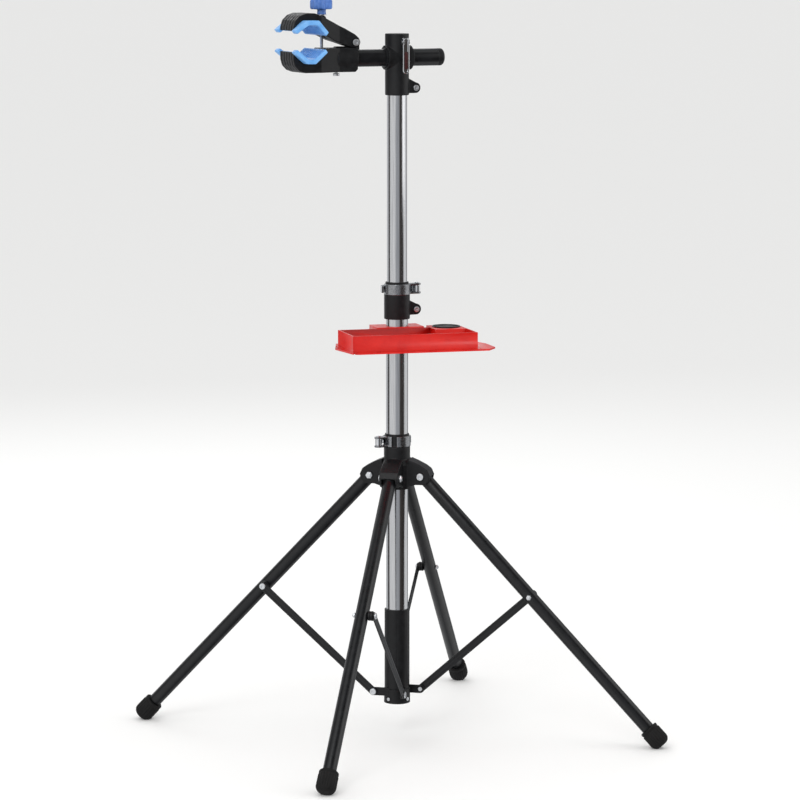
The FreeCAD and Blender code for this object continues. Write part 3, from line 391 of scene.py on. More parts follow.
# Thermoplastic rubber of the jaw pads: light blue, satin, faintly mottled, fine leathery pits.
PAD = Finish("pad_elastomer", "#5B9CDC", "#7BB3EA", 12.0, (0.38, 0.5), 1.1, 0.2, pitted=True)
# Polypropylene knob: deeper greyed blue with a moulded gloss.
KNOB = Finish("polypropylene_knob", "#3F66AE", "#5680C6", 8.0, (0.28, 0.4), 1.3, 0.15)
# ABS tray: bright red, satin, with the fine leather grain of its mould.
TRAY = Finish("abs_tray", "#C9140F", "#DC2219", 30.0,
              (0.3, 0.44), 0.8, 0.15, specular=0.4, pitted=True)
# Bright zinc plate on screws: cool silver, a little cloudy.
ZINC = Finish("zinc_plate", "#CFD2D6", "#ECEEF0", 2.5, (0.34, 0.48), 0.6, 0.1, metallic=1.0)
# Chrome plate on the cam levers: mirror bright with faint cloudy handling marks.
CHROME = Finish("chrome_plate", "#D2D4D8", "#E6E8EA", 7.0, (0.05, 0.14), 3.0, 0.05, metallic=1.0)
# Die-cast aluminium rings: tumbled, satin grey, slightly pebbled.
CASTING = Finish("diecast_aluminium", "#7E8083", "#A3A5A8", 3.0,
                 (0.22, 0.36), 0.8, 0.12, metallic=1.0)
# Acetal liners: dense smooth black with a waxy sheen.
ACETAL = Finish("acetal", "#17181A", "#222326", 10.0, (0.3, 0.4), 1.5, 0.1)
# Wine-red lacquer let into the head lever.
LACQUER = Finish("lever_lacquer", "#2A1012", "#431A1B", 5.0, (0.25, 0.35), 1.0, 0.1)
# Flexible magnet sheet in the dish: flat, fine-grained brown black.
MAGNET = Finish("magnet_sheet", "#1B1A19", "#2A2827", 4.0, (0.6, 0.75), 0.5, 0.4)


# ------------------------------------------------------------------ pieces

def smooth_by_angle(mesh: bpy.types.Mesh, degrees: float = 32.0) -> None:
    """Shade a mesh smooth with sharp edges past an angle."""
    mesh.shade_smooth()
    mesh.set_sharp_from_angle(angle=math.radians(degrees))


@dataclass
class Piece:
    """One visible piece: its shape, where it goes and what it stands for."""

    name: str
    body: str
    finish: Finish
    slot: str
    replaces: tuple[str, ...] = ()

    def build(self, shape: Shape, place: Matrix | None = None,
              degrees: float = 32.0) -> bpy.types.Object:
        """Turn a shape in millimetres into a finished object of the model.

        Args:
            shape: the piece's shape; it is freed.
            place: where the shape goes, in millimetres.
            degrees: edges sharper than this stay sharp.

        Returns:
            The object, at the origin, with its place in its mesh.
        """
        if place is not None:
            moved(shape, place)
        bmesh.ops.scale(shape, vec=(MM, MM, MM), verts=shape.verts)
        mesh = bpy.data.meshes.new(self.name)
        shape.to_mesh(mesh)
        shape.free()
        smooth_by_angle(mesh, degrees)
        return self.dress(bpy.data.objects.new(self.name, mesh))

    def dress(self, item: bpy.types.Object) -> bpy.types.Object:
        if item.name not in bpy.context.scene.collection.objects:
            bpy.context.scene.collection.objects.link(item)
        item.data.materials.clear()
        item.data.materials.append(self.finish.material())
        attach(item, self.body)
        if self.replaces:
            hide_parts(*self.replaces)
        log.info("piece %s on %s: %d faces", self.name, self.body, len(item.data.polygons))
        return item


def baked(item: bpy.types.Object) -> bpy.types.Mesh:
    """Apply an object's modifiers and return the finished mesh."""
    bpy.context.view_layer.update()
    graph = bpy.context.evaluated_depsgraph_get()
    return bpy.data.meshes.new_from_object(item.evaluated_get(graph), depsgraph=graph)


def shape_of_node(node: str) -> Shape:
    """Copy a CAD node as a merged shape in millimetres."""
    shape = bmesh.new()
    shape.from_mesh(frame["nodes"][node].data)
    bmesh.ops.scale(shape, vec=(1000, 1000, 1000), verts=shape.verts)
    bmesh.ops.remove_doubles(shape, verts=shape.verts, dist=0.003)
    return shape


def blank_of(shape: Shape) -> bpy.types.Object:
    """Put a shape in a passing object; the shape is freed."""
    mesh = bpy.data.meshes.new("blank")
    shape.to_mesh(mesh)
    shape.free()
    item = bpy.data.objects.new("blank", mesh)
    bpy.context.scene.collection.objects.link(item)
    return item


def cast_shape(shape: Shape, voxel: float, passes: int, cutter: Shape | None = None) -> Shape:
    """Give a shape the run-together fillets of a casting or a moulding.

    Args:
        shape: a closed shape in millimetres; it is freed.
        voxel: grid size of the new skin.
        passes: how often the skin is smoothed.
        cutter: a shape to take out of it first, if any; it is freed.

    Returns:
        The softened shape.
    """
    passing = [blank_of(shape)]
    item = passing[0]
    if cutter is not None:
        passing.append(blank_of(cutter))
        window = item.modifiers.new("window", "BOOLEAN")
        window.operation = "DIFFERENCE"
        window.object = passing[1]
    skin = item.modifiers.new("skin", "REMESH")
    skin.mode = "VOXEL"
    skin.voxel_size = voxel
    round_off = item.modifiers.new("round", "SMOOTH")
    round_off.factor = 0.5
    round_off.iterations = passes
    done = baked(item)
    result = bmesh.new()
    result.from_mesh(done)
    for used in [entry.data for entry in passing] + [done]:
        bpy.data.meshes.remove(used)
    return result


def moulding(node: str, body: str, finish: Finish, slot: str, voxel: float = 0.9, passes: int = 3,
             cutter: Shape | None = None) -> bpy.types.Object:
    """Replace a CAD node with its softened skin."""
    piece = Piece(node + "_skin", body, finish, slot, (node,))
    return piece.build(cast_shape(shape_of_node(node), voxel, passes, cutter), degrees=60)


def lines_shape(node: str, edge: float, segments: int = 2, angle: float = 28.0) -> Shape:
    """Copy a crisp CAD node, drop its flat facets and round its edges."""
    shape = shape_of_node(node)
    bmesh.ops.dissolve_limit(shape, angle_limit=math.radians(1.0), verts=shape.verts,
                             edges=shape.edges)
    sharp = [item for item in shape.edges
             if len(item.link_faces) == 2 and item.calc_face_angle(0) > math.radians(angle)]
    soften(shape, sharp, edge, segments)
    return shape


@dataclass
class Bolt:
    """A screw seen from outside: socket or pan head, and a nut or a plain end."""

    radius: float
    head_radius: float
    head_height: float
    grip: float
    nut_height: float = 0.0
    socket: bool = True

    def shape(self) -> Shape:
        """Build the bolt along Z, centred on its grip, with its head at the lower end."""
        half = self.grip / 2
        edge = min(0.7, self.head_height / 3)
        head = lathe(rounded_outline(self.head_radius, -half - self.head_height, -half, edge), 40)
        if self.socket:
            floor = -half - self.head_height + 0.01
            low = [f for f in head.faces if f.calc_center_median().z < floor]
            region = bmesh.ops.dissolve_faces(head, faces=low)["region"]
            bmesh.ops.inset_region(head, faces=region, thickness=self.head_radius * 0.45)
            bmesh.ops.inset_region(head, faces=region, thickness=0.05,
                                   depth=-self.head_height * 0.55)
        parts = [head, lathe([(0, -half - 0.01), (self.radius, -half - 0.01),
                              (self.radius, half + 0.01),
                              (0, half + 0.01)], 32)]
        if self.nut_height:
            nut = plate(hex_outline(self.head_radius), self.nut_height, 0.35, 2)
            parts.append(moved(nut, at(0, 0, half + self.nut_height / 2)))
            tail = lathe(rounded_outline(self.radius, half, half + self.nut_height + 1.2, 0.5), 28)
            parts.append(tail)
        return join(*parts)


# ------------------------------------------------------------------ column

def pipe(radius: float, bore: float, low: float, high: float, edge: float = 0.4,
         steps: int = 128) -> Shape:
    """Make a tube with eased rims, standing on its lower height."""
    return lathe(rounded_outline(radius, low, high, edge, bore), steps)


@dataclass
class Column:
    """The two tubes, the foot sleeve and hub, and the collar that joins the tubes."""

    wall: float = 1.5
    sleeve_edge: float = 0.8
    hub_radius: float = 25.0
    pin_offset: float = 21.55
    screw_swing: float = -25.0

    def build(self) -> None:
        """Build every piece of the column."""
        self.tube("lower_tube", "column")
        self.tube("upper_tube", "mast")
        self.sleeve()
        moulding("bottom_hub", "column", NYLON, "black_moulding", 0.7, 2)
        moulding("middle_collar", "column", NYLON, "black_moulding", 0.8)
        self.stay_pins()
        self.hub_screws()
        self.liners()

    def tube(self, node: str, body: str) -> None:
        """Replace one bare tube with a finer one of the same size."""
        space = Extent.of(node)
        radius = space.size.x / 2
        shape = pipe(radius, radius - self.wall, space.low.z, space.high.z)
        Piece(node + "_drawn", body, STAINLESS, "stainless_tube", (node,)).build(shape)

    def sleeve(self) -> None:
        """Thin-walled plastic sleeve over the foot of the lower tube, with fine upright seams."""
        space = Extent.of("bottom_sleeve")
        inner = Extent.of("lower_tube").size.x / 2 + 0.01
        shape = pipe(space.size.x / 2, inner, space.low.z, space.high.z, self.sleeve_edge)
        for point in shape.verts:
            reach = math.hypot(point.co.x, point.co.y)
            turn = math.degrees(math.atan2(point.co.y, point.co.x)) % 45.0
            if reach > inner + 1.5 and abs(turn - 22.5) < 1.5:
                point.co.x *= 1 - 0.35 / reach
                point.co.y *= 1 - 0.35 / reach
        Piece("foot_sleeve", "column", NYLON, "black_moulding", ("bottom_sleeve",)).build(shape)

    def stay_pins(self) -> None:
        """Socket-headed pins that carry the feet of the stays."""
        parts = []
        for side in SIDES:
            point, axis = joint_point(side + "_stay_fold"), joint_axis(side + "_stay_fold")
            bolt = Bolt(4.0, 6.2, 2.4, 7.2).shape()
            parts.append(moved(bolt, axes_matrix(point + axis * self.pin_offset, -axis, UP)))
        Piece("stay_foot_rivets", "column", ZINC, "zinc_fastener", ("stay_foot_pins",)).build(
            join(*parts))

    def hub_screws(self) -> None:
        """Pan-head screws round the hub."""
        height = Extent.of("hub_screws").middle.z
        parts = []
        for side in SIDES:
            way = outward(joint_point(side + "_stay_fold"), self.screw_swing)
            screw = Bolt(2.0, 3.4, 1.9, 4.0).shape()
            seat = way * (self.hub_radius - 2.0) + UP * height
            parts.append(moved(screw, axes_matrix(seat, -way, UP)))
        Piece("hub_pan_screws", "column", ZINC, "zinc_fastener", ("hub_screws",)).build(
            join(*parts))

    def liners(self) -> None:
        """Give the hidden bush and the arm's liner their plastic finish."""
        for node, body in (("glide_bush", "slide_bush"), ("arm_liner", "arm_liner")):
            piece = Piece(node + "_part", body, ACETAL, "inner_plastic", (node,))
            piece.build(shape_of_node(node), degrees=40)


# ------------------------------------------------------------------ clamp rings and screws

@dataclass
class ClampRing:
    """A cast band with a cam lever and the lever's pin."""

    name: str
    body: str
    lever_body: str
    window: float | None = None
    window_width: float = 10.0

    def build(self) -> None:
        """Build the band, its pin and its lever."""
        moulding(self.name, self.body, CASTING, "ring_metal", 0.55, 2, self.opening())
        moulding(self.name + "_lever", self.lever_body, CHROME, "chrome_lever", 0.5, 4)
        space = Extent.of(self.name + "_pin")
        pin = Bolt(2.5, 4.2, 2.0, space.size.z - 2.0).shape()
        place = axes_matrix(space.middle - UP, -UP, REARWARD)
        Piece(self.name + "_cam_pin", self.body, ZINC, "zinc_fastener",
              (self.name + "_pin",)).build(pin, place)

    def opening(self) -> Shape | None:
        """Cutter for the gap between the band's two ends, where the ring has one."""
        if self.window is None:
            return None
        space = Extent.of(self.name)
        shape = bmesh.new()
        bmesh.ops.create_cube(shape, size=1.0)
        bmesh.ops.scale(shape, vec=(24.0, self.window_width, space.size.z + 10), verts=shape.verts)
        place = Matrix.Rotation(math.radians(self.window), 4, "Z") @ at(27.0, 0, space.middle.z)
        return moved(shape, place)


def pinch_screw(node: str, body: str) -> None:
    """Socket screw and nut across the ear of a collar."""
    space = Extent.of(node)
    screw = Bolt(3.0, 5.4, 3.9, 18.0, nut_height=3.6).shape()
    Piece(node + "_set", body, ZINC, "zinc_fastener", (node,)).build(
        screw, axes_matrix(space.middle, REARWARD, UP))


# ------------------------------------------------------------------ crown, legs and stays

@dataclass
class Crown:
    """The sliding crown with its four pivot bolts."""

    grip: float = 36.0

    def build(self) -> None:
        """Build the crown and its bolts."""
        moulding("crown", "crown", NYLON, "black_moulding", 1.0, 4)
        parts = []
        for side in SIDES:
            point, axis = joint_point(side + "_leg_fold"), joint_axis(side + "_leg_fold")
            bolt = Bolt(4.0, 6.7, 3.9, self.grip, nut_height=3.8).shape()
            parts.append(moved(bolt, axes_matrix(point, axis, UP)))
        Piece("leg_bolts", "crown", ZINC, "zinc_fastener", ("leg_pivot_bolts",)).build(join(*parts))


@dataclass
class Leg:
    """One leg with its eye and foot, and the stay that holds it."""

    side: str
    start: float = 14.0
    wall: float = 1.2
    foot_length: float = 42.0
    flutes: int = 22
    tube_radius: float = 12.5
    foot_radius: float = 19.0
    tip_radius: float = 12.0
    stay_width: float = 15.0
    stay_thick: float = 3.0
    nut_seat: float = 14.4

    def __post_init__(self) -> None:
        """Work out the leg's line from its pivot and the middle of its tube."""
        self.pivot = joint_point(self.side + "_leg_fold")
        self.across = joint_axis(self.side + "_leg_fold")
        reach = Extent.of(self.side + "_leg_tube").middle - self.pivot
        self.along = reach.normalized()
        self.length = 2 * (reach.length - self.start)
        self.place = axes_matrix(self.pivot, self.along, self.across)
        self.body = self.side + "_leg"

    def build(self) -> None:
        """Build the leg's pieces and its stay's."""
        self.tube()
        moulding(self.side + "_leg_eye", self.body, NYLON, "leg_eye", 0.9, 2)
        self.foot()
        self.stay()

    def tube(self) -> None:
        """Powder-coated tube."""
        shape = pipe(self.tube_radius, self.tube_radius - self.wall, self.start,
                     self.start + self.length, 0.4, 72)
        Piece(self.side + "_leg_pipe", self.body, POWDER, "leg_coat",
              (self.side + "_leg_tube",)).build(shape, self.place)

    def foot(self) -> None:
        """Fluted rubber cap with a smooth cuff, worn flat where it stands on the floor."""
        end = self.start + self.length + 40.0
        low = end - self.foot_length
        widest, bend = self.foot_radius, self.tip_radius
        tip = [(widest - bend + bend * math.cos(a), end - bend + bend * math.sin(a))
               for a in (i * math.pi / 12 for i in range(7))]
        outline = [(12.4, self.start + self.length - 0.5), (12.6, low + 0.4), (17.2, low + 0.2),
                   (18.2, low + 1.2), (18.2, low + 5.0), (17.4, low + 6.2), (17.6, low + 7.4),
                   (18.9, low + 9.0), *tip, (0, end)]
        shape = lathe([(0, self.start + self.length - 0.5), *outline], self.flutes * 6)
        for point in shape.verts:
            reach = math.hypot(point.co.x, point.co.y)
            if reach > 16.0 and point.co.z > low + 8.0:
                wave = 0.5 - 0.5 * math.cos(self.flutes * math.atan2(point.co.y, point.co.x))
                factor = 1 - 1.1 * wave ** 2 * (reach - 13.0) / (widest - 13.0) / reach
                point.co.x *= factor
                point.co.y *= factor
        moved(shape, self.place)
        geometry = [*shape.verts, *shape.edges, *shape.faces]
        cut = bmesh.ops.bisect_plane(shape, geom=geometry, plane_co=(0, 0, 0), plane_no=(0, 0, 1),
                                     clear_inner=True)
        rim = [item for item in cut["geom_cut"] if isinstance(item, bmesh.types.BMEdge)]
        bmesh.ops.holes_fill(shape, edges=rim)
        Piece(self.side + "_foot_cap", self.body, RUBBER, "foot_rubber",
              (self.side + "_foot",)).build(shape, degrees=40)

    def stay(self) -> None:
        """Pressed steel strip with a sunk bead, and the bolt that spaces it off the leg."""
        body = self.side + "_stay"
        foot = joint_point(body + "_fold")
        middle = Extent.of(body).middle
        offset = (middle - foot).dot(self.across)
        run = middle - foot - self.across * offset
        span = 2 * run.length
        strip = plate(slot_outline(span, self.stay_width), self.stay_thick, 0.7, 2)
        for sign in (1, -1):
            flat = [f for f in strip.faces if f.normal.z * sign > 0.99 and f.calc_area() > 500]
            bmesh.ops.inset_region(strip, faces=flat, thickness=3.2)
            bmesh.ops.inset_region(strip, faces=flat, thickness=0.8, depth=-0.7)
        place = axes_matrix(middle, self.across, run) @ Matrix.Rotation(math.pi / 2, 4, "Z")
        Piece(self.side + "_stay_strip", body, POWDER, "stay_coat", (body,)).build(strip, place)

        top = foot + run * 2
        barrel = lathe([(0, 12.8), (8.2, 12.8), (9.0, 13.6), (9.0, 16.2), (8.2, 16.8), (8.2, 17.6),
                        (9.0, 18.2), (9.0, 21.2), (8.4, 21.9), (0, 21.9)], 48)
        screw = moved(Bolt(3.0, 5.9, 2.9, 3.0).shape(),
                      at(0, 0, 23.5) @ Matrix.Rotation(math.pi, 4, "X"))
        place = axes_matrix(top, self.across, UP)
        bolt_node = self.side + "_stay_bolt"
        Piece(bolt_node + "_spacer", body, NYLON, "stay_bolt", (bolt_node,)).build(barrel, place)
        Piece(bolt_node + "_head", body, ZINC, "zinc_fastener").build(screw, place)
        nut = plate(hex_outline(5.0), 3.0, 0.4, 2)
        tail = lathe(rounded_outline(3.0, -2, 3.5, 0.6), 28)
        seat = axes_matrix(top - self.across * self.nut_seat, -self.across, UP)
        Piece(self.side + "_leg_nut", self.body, ZINC, "zinc_fastener").build(join(nut, tail), seat)


# ------------------------------------------------------------------ head and arm

@dataclass
class Head:
    """The head block, its skewer and the cam lever that locks the arm."""

    lever_width: float = 13.0
    lever_thick: float = 4.6

    def build(self) -> None:
        """Build the head's pieces."""
        moulding("head_block", "mast", NYLON, "black_moulding", 0.8, 4)
        pinch_screw("head_pinch_screw", "mast")
        self.skewer()
        self.lever()

    def skewer(self) -> None:
        """Rod with a domed nut behind and the lever's cross pin in front."""
        point = joint_point("head_lever_cam")
        space = Extent.of("head_skewer")
        rod = lathe(rounded_outline(3.0, point.y, space.high.y - 1.0, 0.5), 32)
        dome = lathe([(0, 22.4), (7.0, 22.4), (7.0, 25.4), (6.2, 28.2), (4.2, 30.0), (0, 30.6)], 48)
        moved(rod, at(point.x, 0, point.z, Axis.ALONG_Y))
        moved(dome, at(point.x, 0, point.z, Axis.ALONG_Y))
        half = self.lever_width / 2 + 0.5
        pin = moved(lathe(rounded_outline(2.5, -half, half, 0.5), 28),
                    at(point.x, point.y, point.z, Axis.ALONG_X))
        Piece("arm_skewer", "mast", ZINC, "zinc_fastener", ("head_skewer",)).build(
            join(rod, dome, pin))

    def lever(self) -> None:
        """Chromed loop with two cheeks round the cross pin and a lacquered inlay."""
        point = joint_point("head_lever_cam")
        space = Extent.of("head_lever")
        length = point.z - space.low.z - self.lever_width / 2
        blade = plate(slot_outline(length, self.lever_width, 16), self.lever_thick, 1.4, 4)
        front = [f for f in blade.faces if f.normal.z > 0.99 and f.calc_area() > 100]
        bmesh.ops.inset_region(blade, faces=front, thickness=1.6)
        bmesh.ops.inset_region(blade, faces=front, thickness=0.5, depth=-1.4)
        place = axes_matrix(Vector((point.x, space.low.y + 4.2, point.z - length / 2)), FORWARD,
                            UP) @ Matrix.Rotation(math.pi / 2, 4, "Z")
        moved(blade, place)
        cheeks = []
        for x in (-5.1, 5.1):
            cheek = lathe(rounded_outline(7.0, -1.4, 1.4, 0.6, 2.6), 48)
            cheeks.append(moved(cheek, at(point.x + x, point.y, point.z, Axis.ALONG_X)))
        Piece("head_cam_lever", "head_lever", CHROME, "chrome_lever", ("head_lever",)).build(
            join(blade, *cheeks))
        inlay = plate(slot_outline(length * 0.5, 6.4, 12), 1.0, 0.3, 2)
        seat = axes_matrix(Vector((point.x, space.low.y + 2.9, point.z - length * 0.66)), FORWARD,
                           UP) @ Matrix.Rotation(math.pi / 2, 4, "Z")
        Piece("head_lever_inlay", "head_lever", LACQUER, "chrome_lever").build(inlay, seat)


@dataclass
class Arm:
    """The turning arm: its pipe and the cap in its free end."""

    wall: float = 2.0
    cap_round: float = 6.0

    def build(self) -> None:
        """Build the pipe and the cap."""
        space = Extent.of("arm_tube")
        radius = space.size.y / 2
        centre = at(0, space.middle.y, space.middle.z, Axis.ALONG_X)
        shape = pipe(radius, radius - self.wall, space.low.x, space.high.x, 0.5, 96)
        Piece("arm_pipe", "arm", POWDER, "leg_coat", ("arm_tube",)).build(shape, centre)
        end = Extent.of("arm_end_cap").high.x
        arc = [(radius - self.cap_round + self.cap_round * math.cos(a),
                end - self.cap_round + self.cap_round * math.sin(a))
               for a in (i * math.pi / 16 for i in range(9))]
        cap = lathe([(0, space.high.x - 15), (radius - self.wall - 0.05, space.high.x - 15),
                     (radius - self.wall - 0.05, space.high.x + 0.1),
                     (radius - 0.5, space.high.x + 0.1),
                     (radius, space.high.x + 0.7), *arc, (0, end)], 96)
        Piece("arm_cap", "arm", NYLON, "black_moulding", ("arm_end_cap",)).build(cap, centre)


# ------------------------------------------------------------------ clamp

@dataclass
class Clamp:
    """The two jaws with their pads, the hinge, and the screw with its knob."""

    rib_gap: float = 9.0
    notch_half: float = 40.0
    thread_pitch: float = 1.25
    lobes: int = 7

    def build(self) -> None:
        """Build the clamp's pieces."""
        moulding("lower_jaw", "arm", NYLON, "black_moulding", 0.9, 3)
        moulding("upper_jaw", "upper_jaw", NYLON, "black_moulding", 0.9, 3)
        self.pad("lower_pad", "arm", 1)
        self.pad("upper_pad", "upper_jaw", -1)
        self.screws()
        self.knob()

    def pad(self, node: str, body: str, facing: int) -> None:
        """V-shaped pad with a raised border and ribs on its gripping faces.

        Args:
            node: the pad's CAD node.
            body: the body that it rides on.
            facing: 1 where the pad opens upwards, -1 where it opens downwards.
        """
        shape = lines_shape(node, 1.6, 3)
        width = Extent.of(node).size.y
        grip = [f for f in shape.faces
                if f.normal.z * facing > 0.3 and f.calc_area() > 500 and abs(f.normal.y) < 0.1]
        ribs = []
        for face in grip:
            normal = face.normal.copy()
            along = normal.cross(REARWARD).normalized()
            middle, half = self.grip_span(face, along)
            count = int((width - 16) / self.rib_gap)
            for i in range(count + 1):
                offset = (i - count / 2) * self.rib_gap
                rib = plate(slot_outline(2 * half - 7.0, 2.2, 6), 1.6, 0.5, 2)
                spot = middle + Vector((0, offset, 0)) - normal * 0.75
                ribs.append(moved(rib, axes_matrix(spot, normal, REARWARD)))
        for face in list(grip):
            bmesh.ops.inset_region(shape, faces=[face], thickness=2.6)
            bmesh.ops.inset_region(shape, faces=[face], thickness=0.7, depth=-1.3)
        Piece(node + "_grip", body, PAD, "jaw_pad", (node,)).build(join(shape, *ribs))

    def grip_span(self, face: bmesh.types.BMFace, along: Vector) -> tuple[Vector, float]:
        """Middle and half length of a gripping face where no notch shortens it.

        Args:
            face: the gripping face.
            along: direction across the tube that it grips.

        Returns:
            The middle point, on the jaw's centre plane, and the half length.
        """
        spots = [point.co for point in face.verts]
        reaches = [spot.dot(along) for spot in spots]
        low, high = min(reaches), max(reaches)
        notch = [spot.dot(along) for spot in spots if abs(spot.y) < self.notch_half]
        if notch and sum(notch) / len(notch) < (low + high) / 2:
            low = max(notch)
        elif notch:
            high = min(notch)
        middle = spots[0] + along * ((low + high) / 2 - reaches[0])
        middle.y = 0.0
        return middle, (high - low) / 2

    def screws(self) -> None:
        """Hinge bolt, fixing bolt, trunnion, threaded rod and thrust washer."""
        hinge = joint_point("jaw_hinge")
        bolt = Bolt(4.0, 6.3, 3.9, 38.0, nut_height=3.8).shape()
        Piece("jaw_hinge_set", "arm", ZINC, "zinc_fastener", ("jaw_hinge_bolt",)).build(
            bolt, axes_matrix(hinge, REARWARD, UP))
        space = Extent.of("jaw_fixing_bolt")
        fixing = Bolt(3.0, 6.0, 4.9, space.size.z - 10.0, nut_height=4.8).shape()
        Piece("jaw_fixing_set", "arm", ZINC, "zinc_fastener", ("jaw_fixing_bolt",)).build(
            fixing, at(space.middle.x, 0, space.middle.z - 0.1))
        barrel = Extent.of("clamp_trunnion")
        shape = lathe(rounded_outline(6.0, barrel.low.y, barrel.high.y, 0.6), 40)
        Piece("rod_trunnion", "arm", ZINC, "zinc_fastener", ("clamp_trunnion",)).build(
            shape, at(barrel.middle.x, 0, barrel.middle.z, Axis.ALONG_Y))
        rod = Extent.of("clamp_rod")
        turns = int(rod.size.z / self.thread_pitch)
        crest, root = 3.0, 2.45
        outline = [(0, rod.low.z)]
        for i in range(turns):
            outline += [(root, rod.low.z + i * self.thread_pitch),
                        (crest, rod.low.z + (i + 0.5) * self.thread_pitch)]
        outline.append((0, rod.high.z))
        Piece("threaded_rod", "arm", ZINC, "zinc_fastener", ("clamp_rod",)).build(
            lathe(outline, 28), at(rod.middle.x, 0, 0))
        washer = Extent.of("thrust_washer")
        ring = lathe(rounded_outline(9.5, washer.low.z, washer.high.z, 0.5, 3.4), 48)
        Piece("knob_washer", "thrust_washer", ZINC, "zinc_fastener", ("thrust_washer",)).build(
            ring, at(washer.middle.x, 0, 0))

    def knob(self) -> None:
        """Lobed knob with a dished top and a long neck."""
        space = Extent.of("clamp_knob")
        top, wide = space.high.z, 21.4
        outline = [(3.4, space.low.z), (7.6, space.low.z), (8.4, space.low.z + 0.8), (8.0, 1387.2),
                   (9.4, 1388.7), (18.6, 1388.7), (20.6, 1389.5), (wide, 1391.4), (wide, 1403.4),
                   (20.4, 1406.0), (18.2, top), (13.5, top), (12.2, top - 1.2), (6.4, top - 1.4),
                   (5.6, top - 0.4), (0, top - 0.2)]
        lid = [(0, 1402.0), (3.4, 1402.0)]
        shape = lathe([*lid, *outline], 140, ripple=5.2, lobes=self.lobes)
        Piece("lobed_knob", "knob", KNOB, "knob_blue", ("clamp_knob",)).build(
            shape, at(joint_point("knob_turn").x, 0, 0), degrees=45)


# ------------------------------------------------------------------ tool tray

@dataclass
class Tray:
    """The red tray with its magnetic dish and thumb screw."""

    edge: float = 0.9
    screw_tip: float = 21.4
    screw_end: float = 44.4

    def build(self) -> None:
        """Build the tray's pieces."""
        Piece("tray_shell", "tray", TRAY, "tray_red", ("tool_tray",)).build(
            lines_shape("tool_tray", self.edge, 3), degrees=40)
        self.dish()
        self.thumb_screw()

    def dish(self) -> None:
        """Spun dish with a rolled rim and a magnet sheet inside."""
        space = Extent.of("magnetic_dish")
        low, high = space.low.z, space.high.z
        radius = space.size.x / 2
        cup = lathe([(0, low), (radius - 0.8, low), (radius, low + 0.9), (radius, high - 0.9),
                     (radius - 0.9, high), (radius - 2.4, high - 0.4), (radius - 3.4, low + 1.7),
                     (radius - 4.4, low + 1.2), (0, low + 1.2)], 96)
        place = at(space.middle.x, space.middle.y, 0)
        Piece("dish_cup", "tray", POWDER, "magnet_black", ("magnetic_dish",)).build(cup, place)
        sheet = lathe(rounded_outline(radius - 5.0, low + 1.1, low + 1.9, 0.2), 72)
        Piece("dish_magnet", "tray", MAGNET, "magnet_black").build(sheet, place)

    def thumb_screw(self) -> None:
        """Knurled screw that pinches the tray on the column."""
        space = Extent.of("tray_thumb_screw")
        centre = space.middle
        spin = joint_point("tray_swivel")
        outward = Vector((centre.x - spin.x, centre.y - spin.y, 0)).normalized()
        low, high = self.screw_tip, self.screw_end
        shank = lathe(rounded_outline(3.0, low, high - 11.0, 0.6), 32)
        head = lathe(rounded_outline(9.0, high - 12.0, high, 1.4), 144, ripple=1.0, lobes=24)
        place = axes_matrix(Vector((0, 0, centre.z)), outward, UP)
        Piece("tray_knurled_screw", "tray", NYLON, "magnet_black", ("tray_thumb_screw",)).build(
            join(shank, head), place)


# ------------------------------------------------------------------ stage, light and camera

def paint(name: str, code: str, roughness: float) -> bpy.types.Material:
    """Plain matt paint for the floor."""
    made = bpy.data.materials.new(name)
    made.use_nodes = True
    shader = made.node_tree.nodes["Principled BSDF"]
    shader.inputs["Base Color"].default_value = linear(code)
    shader.inputs["Roughness"].default_value = roughness
    return made


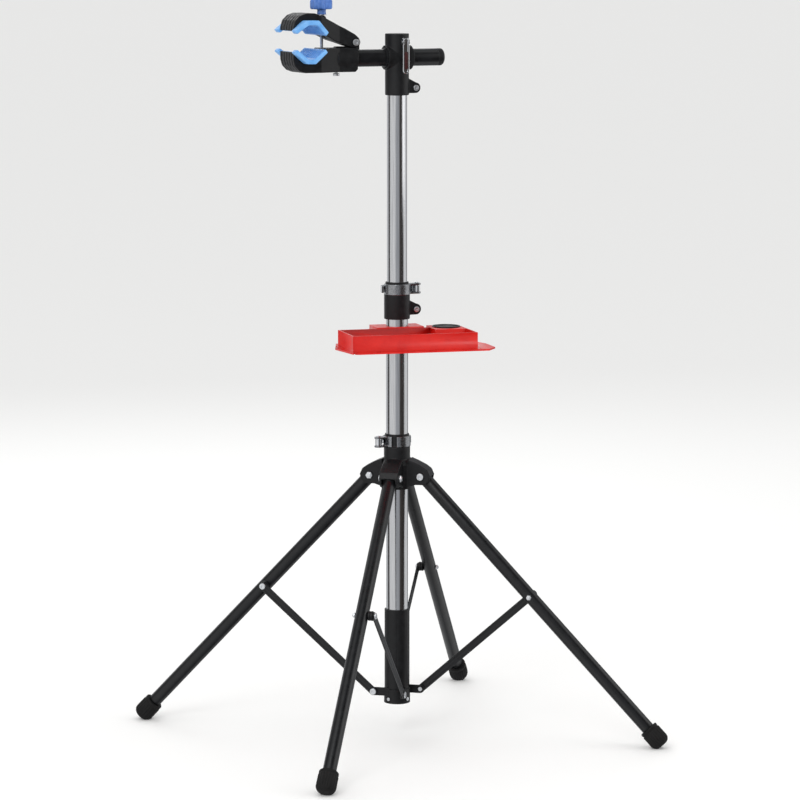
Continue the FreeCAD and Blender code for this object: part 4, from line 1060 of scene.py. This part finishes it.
@dataclass
class Studio:
    """Pale floor, soft lights and the camera."""

    lens_mm: float = 162.0
    distance: float = 6.79
    height: float = 1.556
    azimuth: float = -22.6
    pitch_down: float = 7.62
    aim_right: float = 0.048

    def build(self) -> None:
        """Build the stage, the lights and the camera."""
        bpy.context.scene.view_settings.view_transform = "Standard"
        self.floor()
        self.sky()
        self.lights()
        self.camera()

    def floor(self) -> None:
        """Wide pale floor."""
        shape = bmesh.new()
        bmesh.ops.create_grid(shape, x_segments=2, y_segments=2, size=200.0)
        mesh = bpy.data.meshes.new("floor")
        shape.to_mesh(mesh)
        shape.free()
        item = bpy.data.objects.new("floor", mesh)
        mesh.materials.append(paint("studio_floor", "#F4F4F3", 0.9))
        bpy.context.scene.collection.objects.link(item)
        item.visible_glossy = False

    def sky(self) -> None:
        """Even pale surroundings with upright darker bands that polished tubes pick up."""
        world = bpy.data.worlds.new("studio")
        bpy.context.scene.world = world
        world.use_nodes = True
        tree = world.node_tree
        tree.nodes.clear()
        spot = add_node(tree, "ShaderNodeTexCoord")
        bands = add_node(tree, "ShaderNodeTexGradient", {"gradient_type": "RADIAL"},
                         {"Vector": (spot, "Generated")})
        tone = add_node(tree, "ShaderNodeValToRGB", links={"Fac": (bands, "Fac")})
        stops(tone, [(0.0, "#FFFFFF"), (0.123, "#FFFFFF"), (0.16, "#C2C4C8"), (0.251, "#B4B6BA"),
                     (0.28, "#4C4744"), (0.4, "#3A3634"), (0.425, "#FFFFFF"), (0.54, "#FFFFFF"),
                     (0.58, "#9A9C9F"), (0.687, "#A4A6A9"), (0.71, "#E6E7E9"), (0.86, "#E6E7E9"),
                     (0.885, "#4A4848"), (0.935, "#565454"), (0.955, "#FFFFFF")])
        glow = add_node(tree, "ShaderNodeBackground", {"Strength": 0.9}, {"Color": (tone, "Color")})
        plain = add_node(tree, "ShaderNodeBackground",
                         {"Color": linear("#FAFAFA"), "Strength": 0.95})
        ray = add_node(tree, "ShaderNodeLightPath")
        mix = add_node(tree, "ShaderNodeMixShader", links={"Fac": (ray, "Is Glossy Ray")})
        tree.links.new(plain.outputs[0], mix.inputs[1])
        tree.links.new(glow.outputs[0], mix.inputs[2])
        add_node(tree, "ShaderNodeOutputWorld", links={"Surface": (mix, "Shader")})

    def lights(self) -> None:
        """Three large soft boxes."""
        for name, place, size, power in (("key", (-2.6, -3.0, 3.4), 2.2, 60.0),
                                         ("fill", (3.2, -2.2, 2.2), 2.6, 25.0),
                                         ("rim", (0.6, 3.4, 3.0), 2.4, 30.0)):
            lamp = bpy.data.lights.new(name, "AREA")
            lamp.size = size
            lamp.energy = power
            item = bpy.data.objects.new(name, lamp)
            item.location = place
            gaze = Vector((0, 0, 0.8)) - Vector(place)
            item.rotation_euler = gaze.to_track_quat("-Z", "Y").to_euler()
            bpy.context.scene.collection.objects.link(item)

    def camera(self) -> None:
        """Long lens, a little above the stand and to its left."""
        turn = math.radians(self.azimuth)
        data = bpy.data.cameras.new("camera")
        data.lens = self.lens_mm
        data.sensor_width = 36.0
        item = bpy.data.objects.new("camera", data)
        item.location = (math.sin(turn) * self.distance, -math.cos(turn) * self.distance,
                         self.height)
        item.rotation_euler = (math.radians(90 - self.pitch_down), 0.0,
                               turn - math.radians(self.aim_right))
        bpy.context.scene.collection.objects.link(item)
        bpy.context.scene.camera = item


def main() -> None:
    """Build the stand and its studio."""
    Studio().build()
    Column().build()
    Crown().build()
    for side in SIDES:
        Leg(side).build()
    ClampRing("middle_ring", "column", "middle_lever").build()
    ClampRing("crown_ring", "crown", "crown_lever", window=-124.0).build()
    pinch_screw("middle_collar_screw", "column")
    Head().build()
    Arm().build()
    Clamp().build()
    Tray().build()


if __name__ == "__main__":
    main()
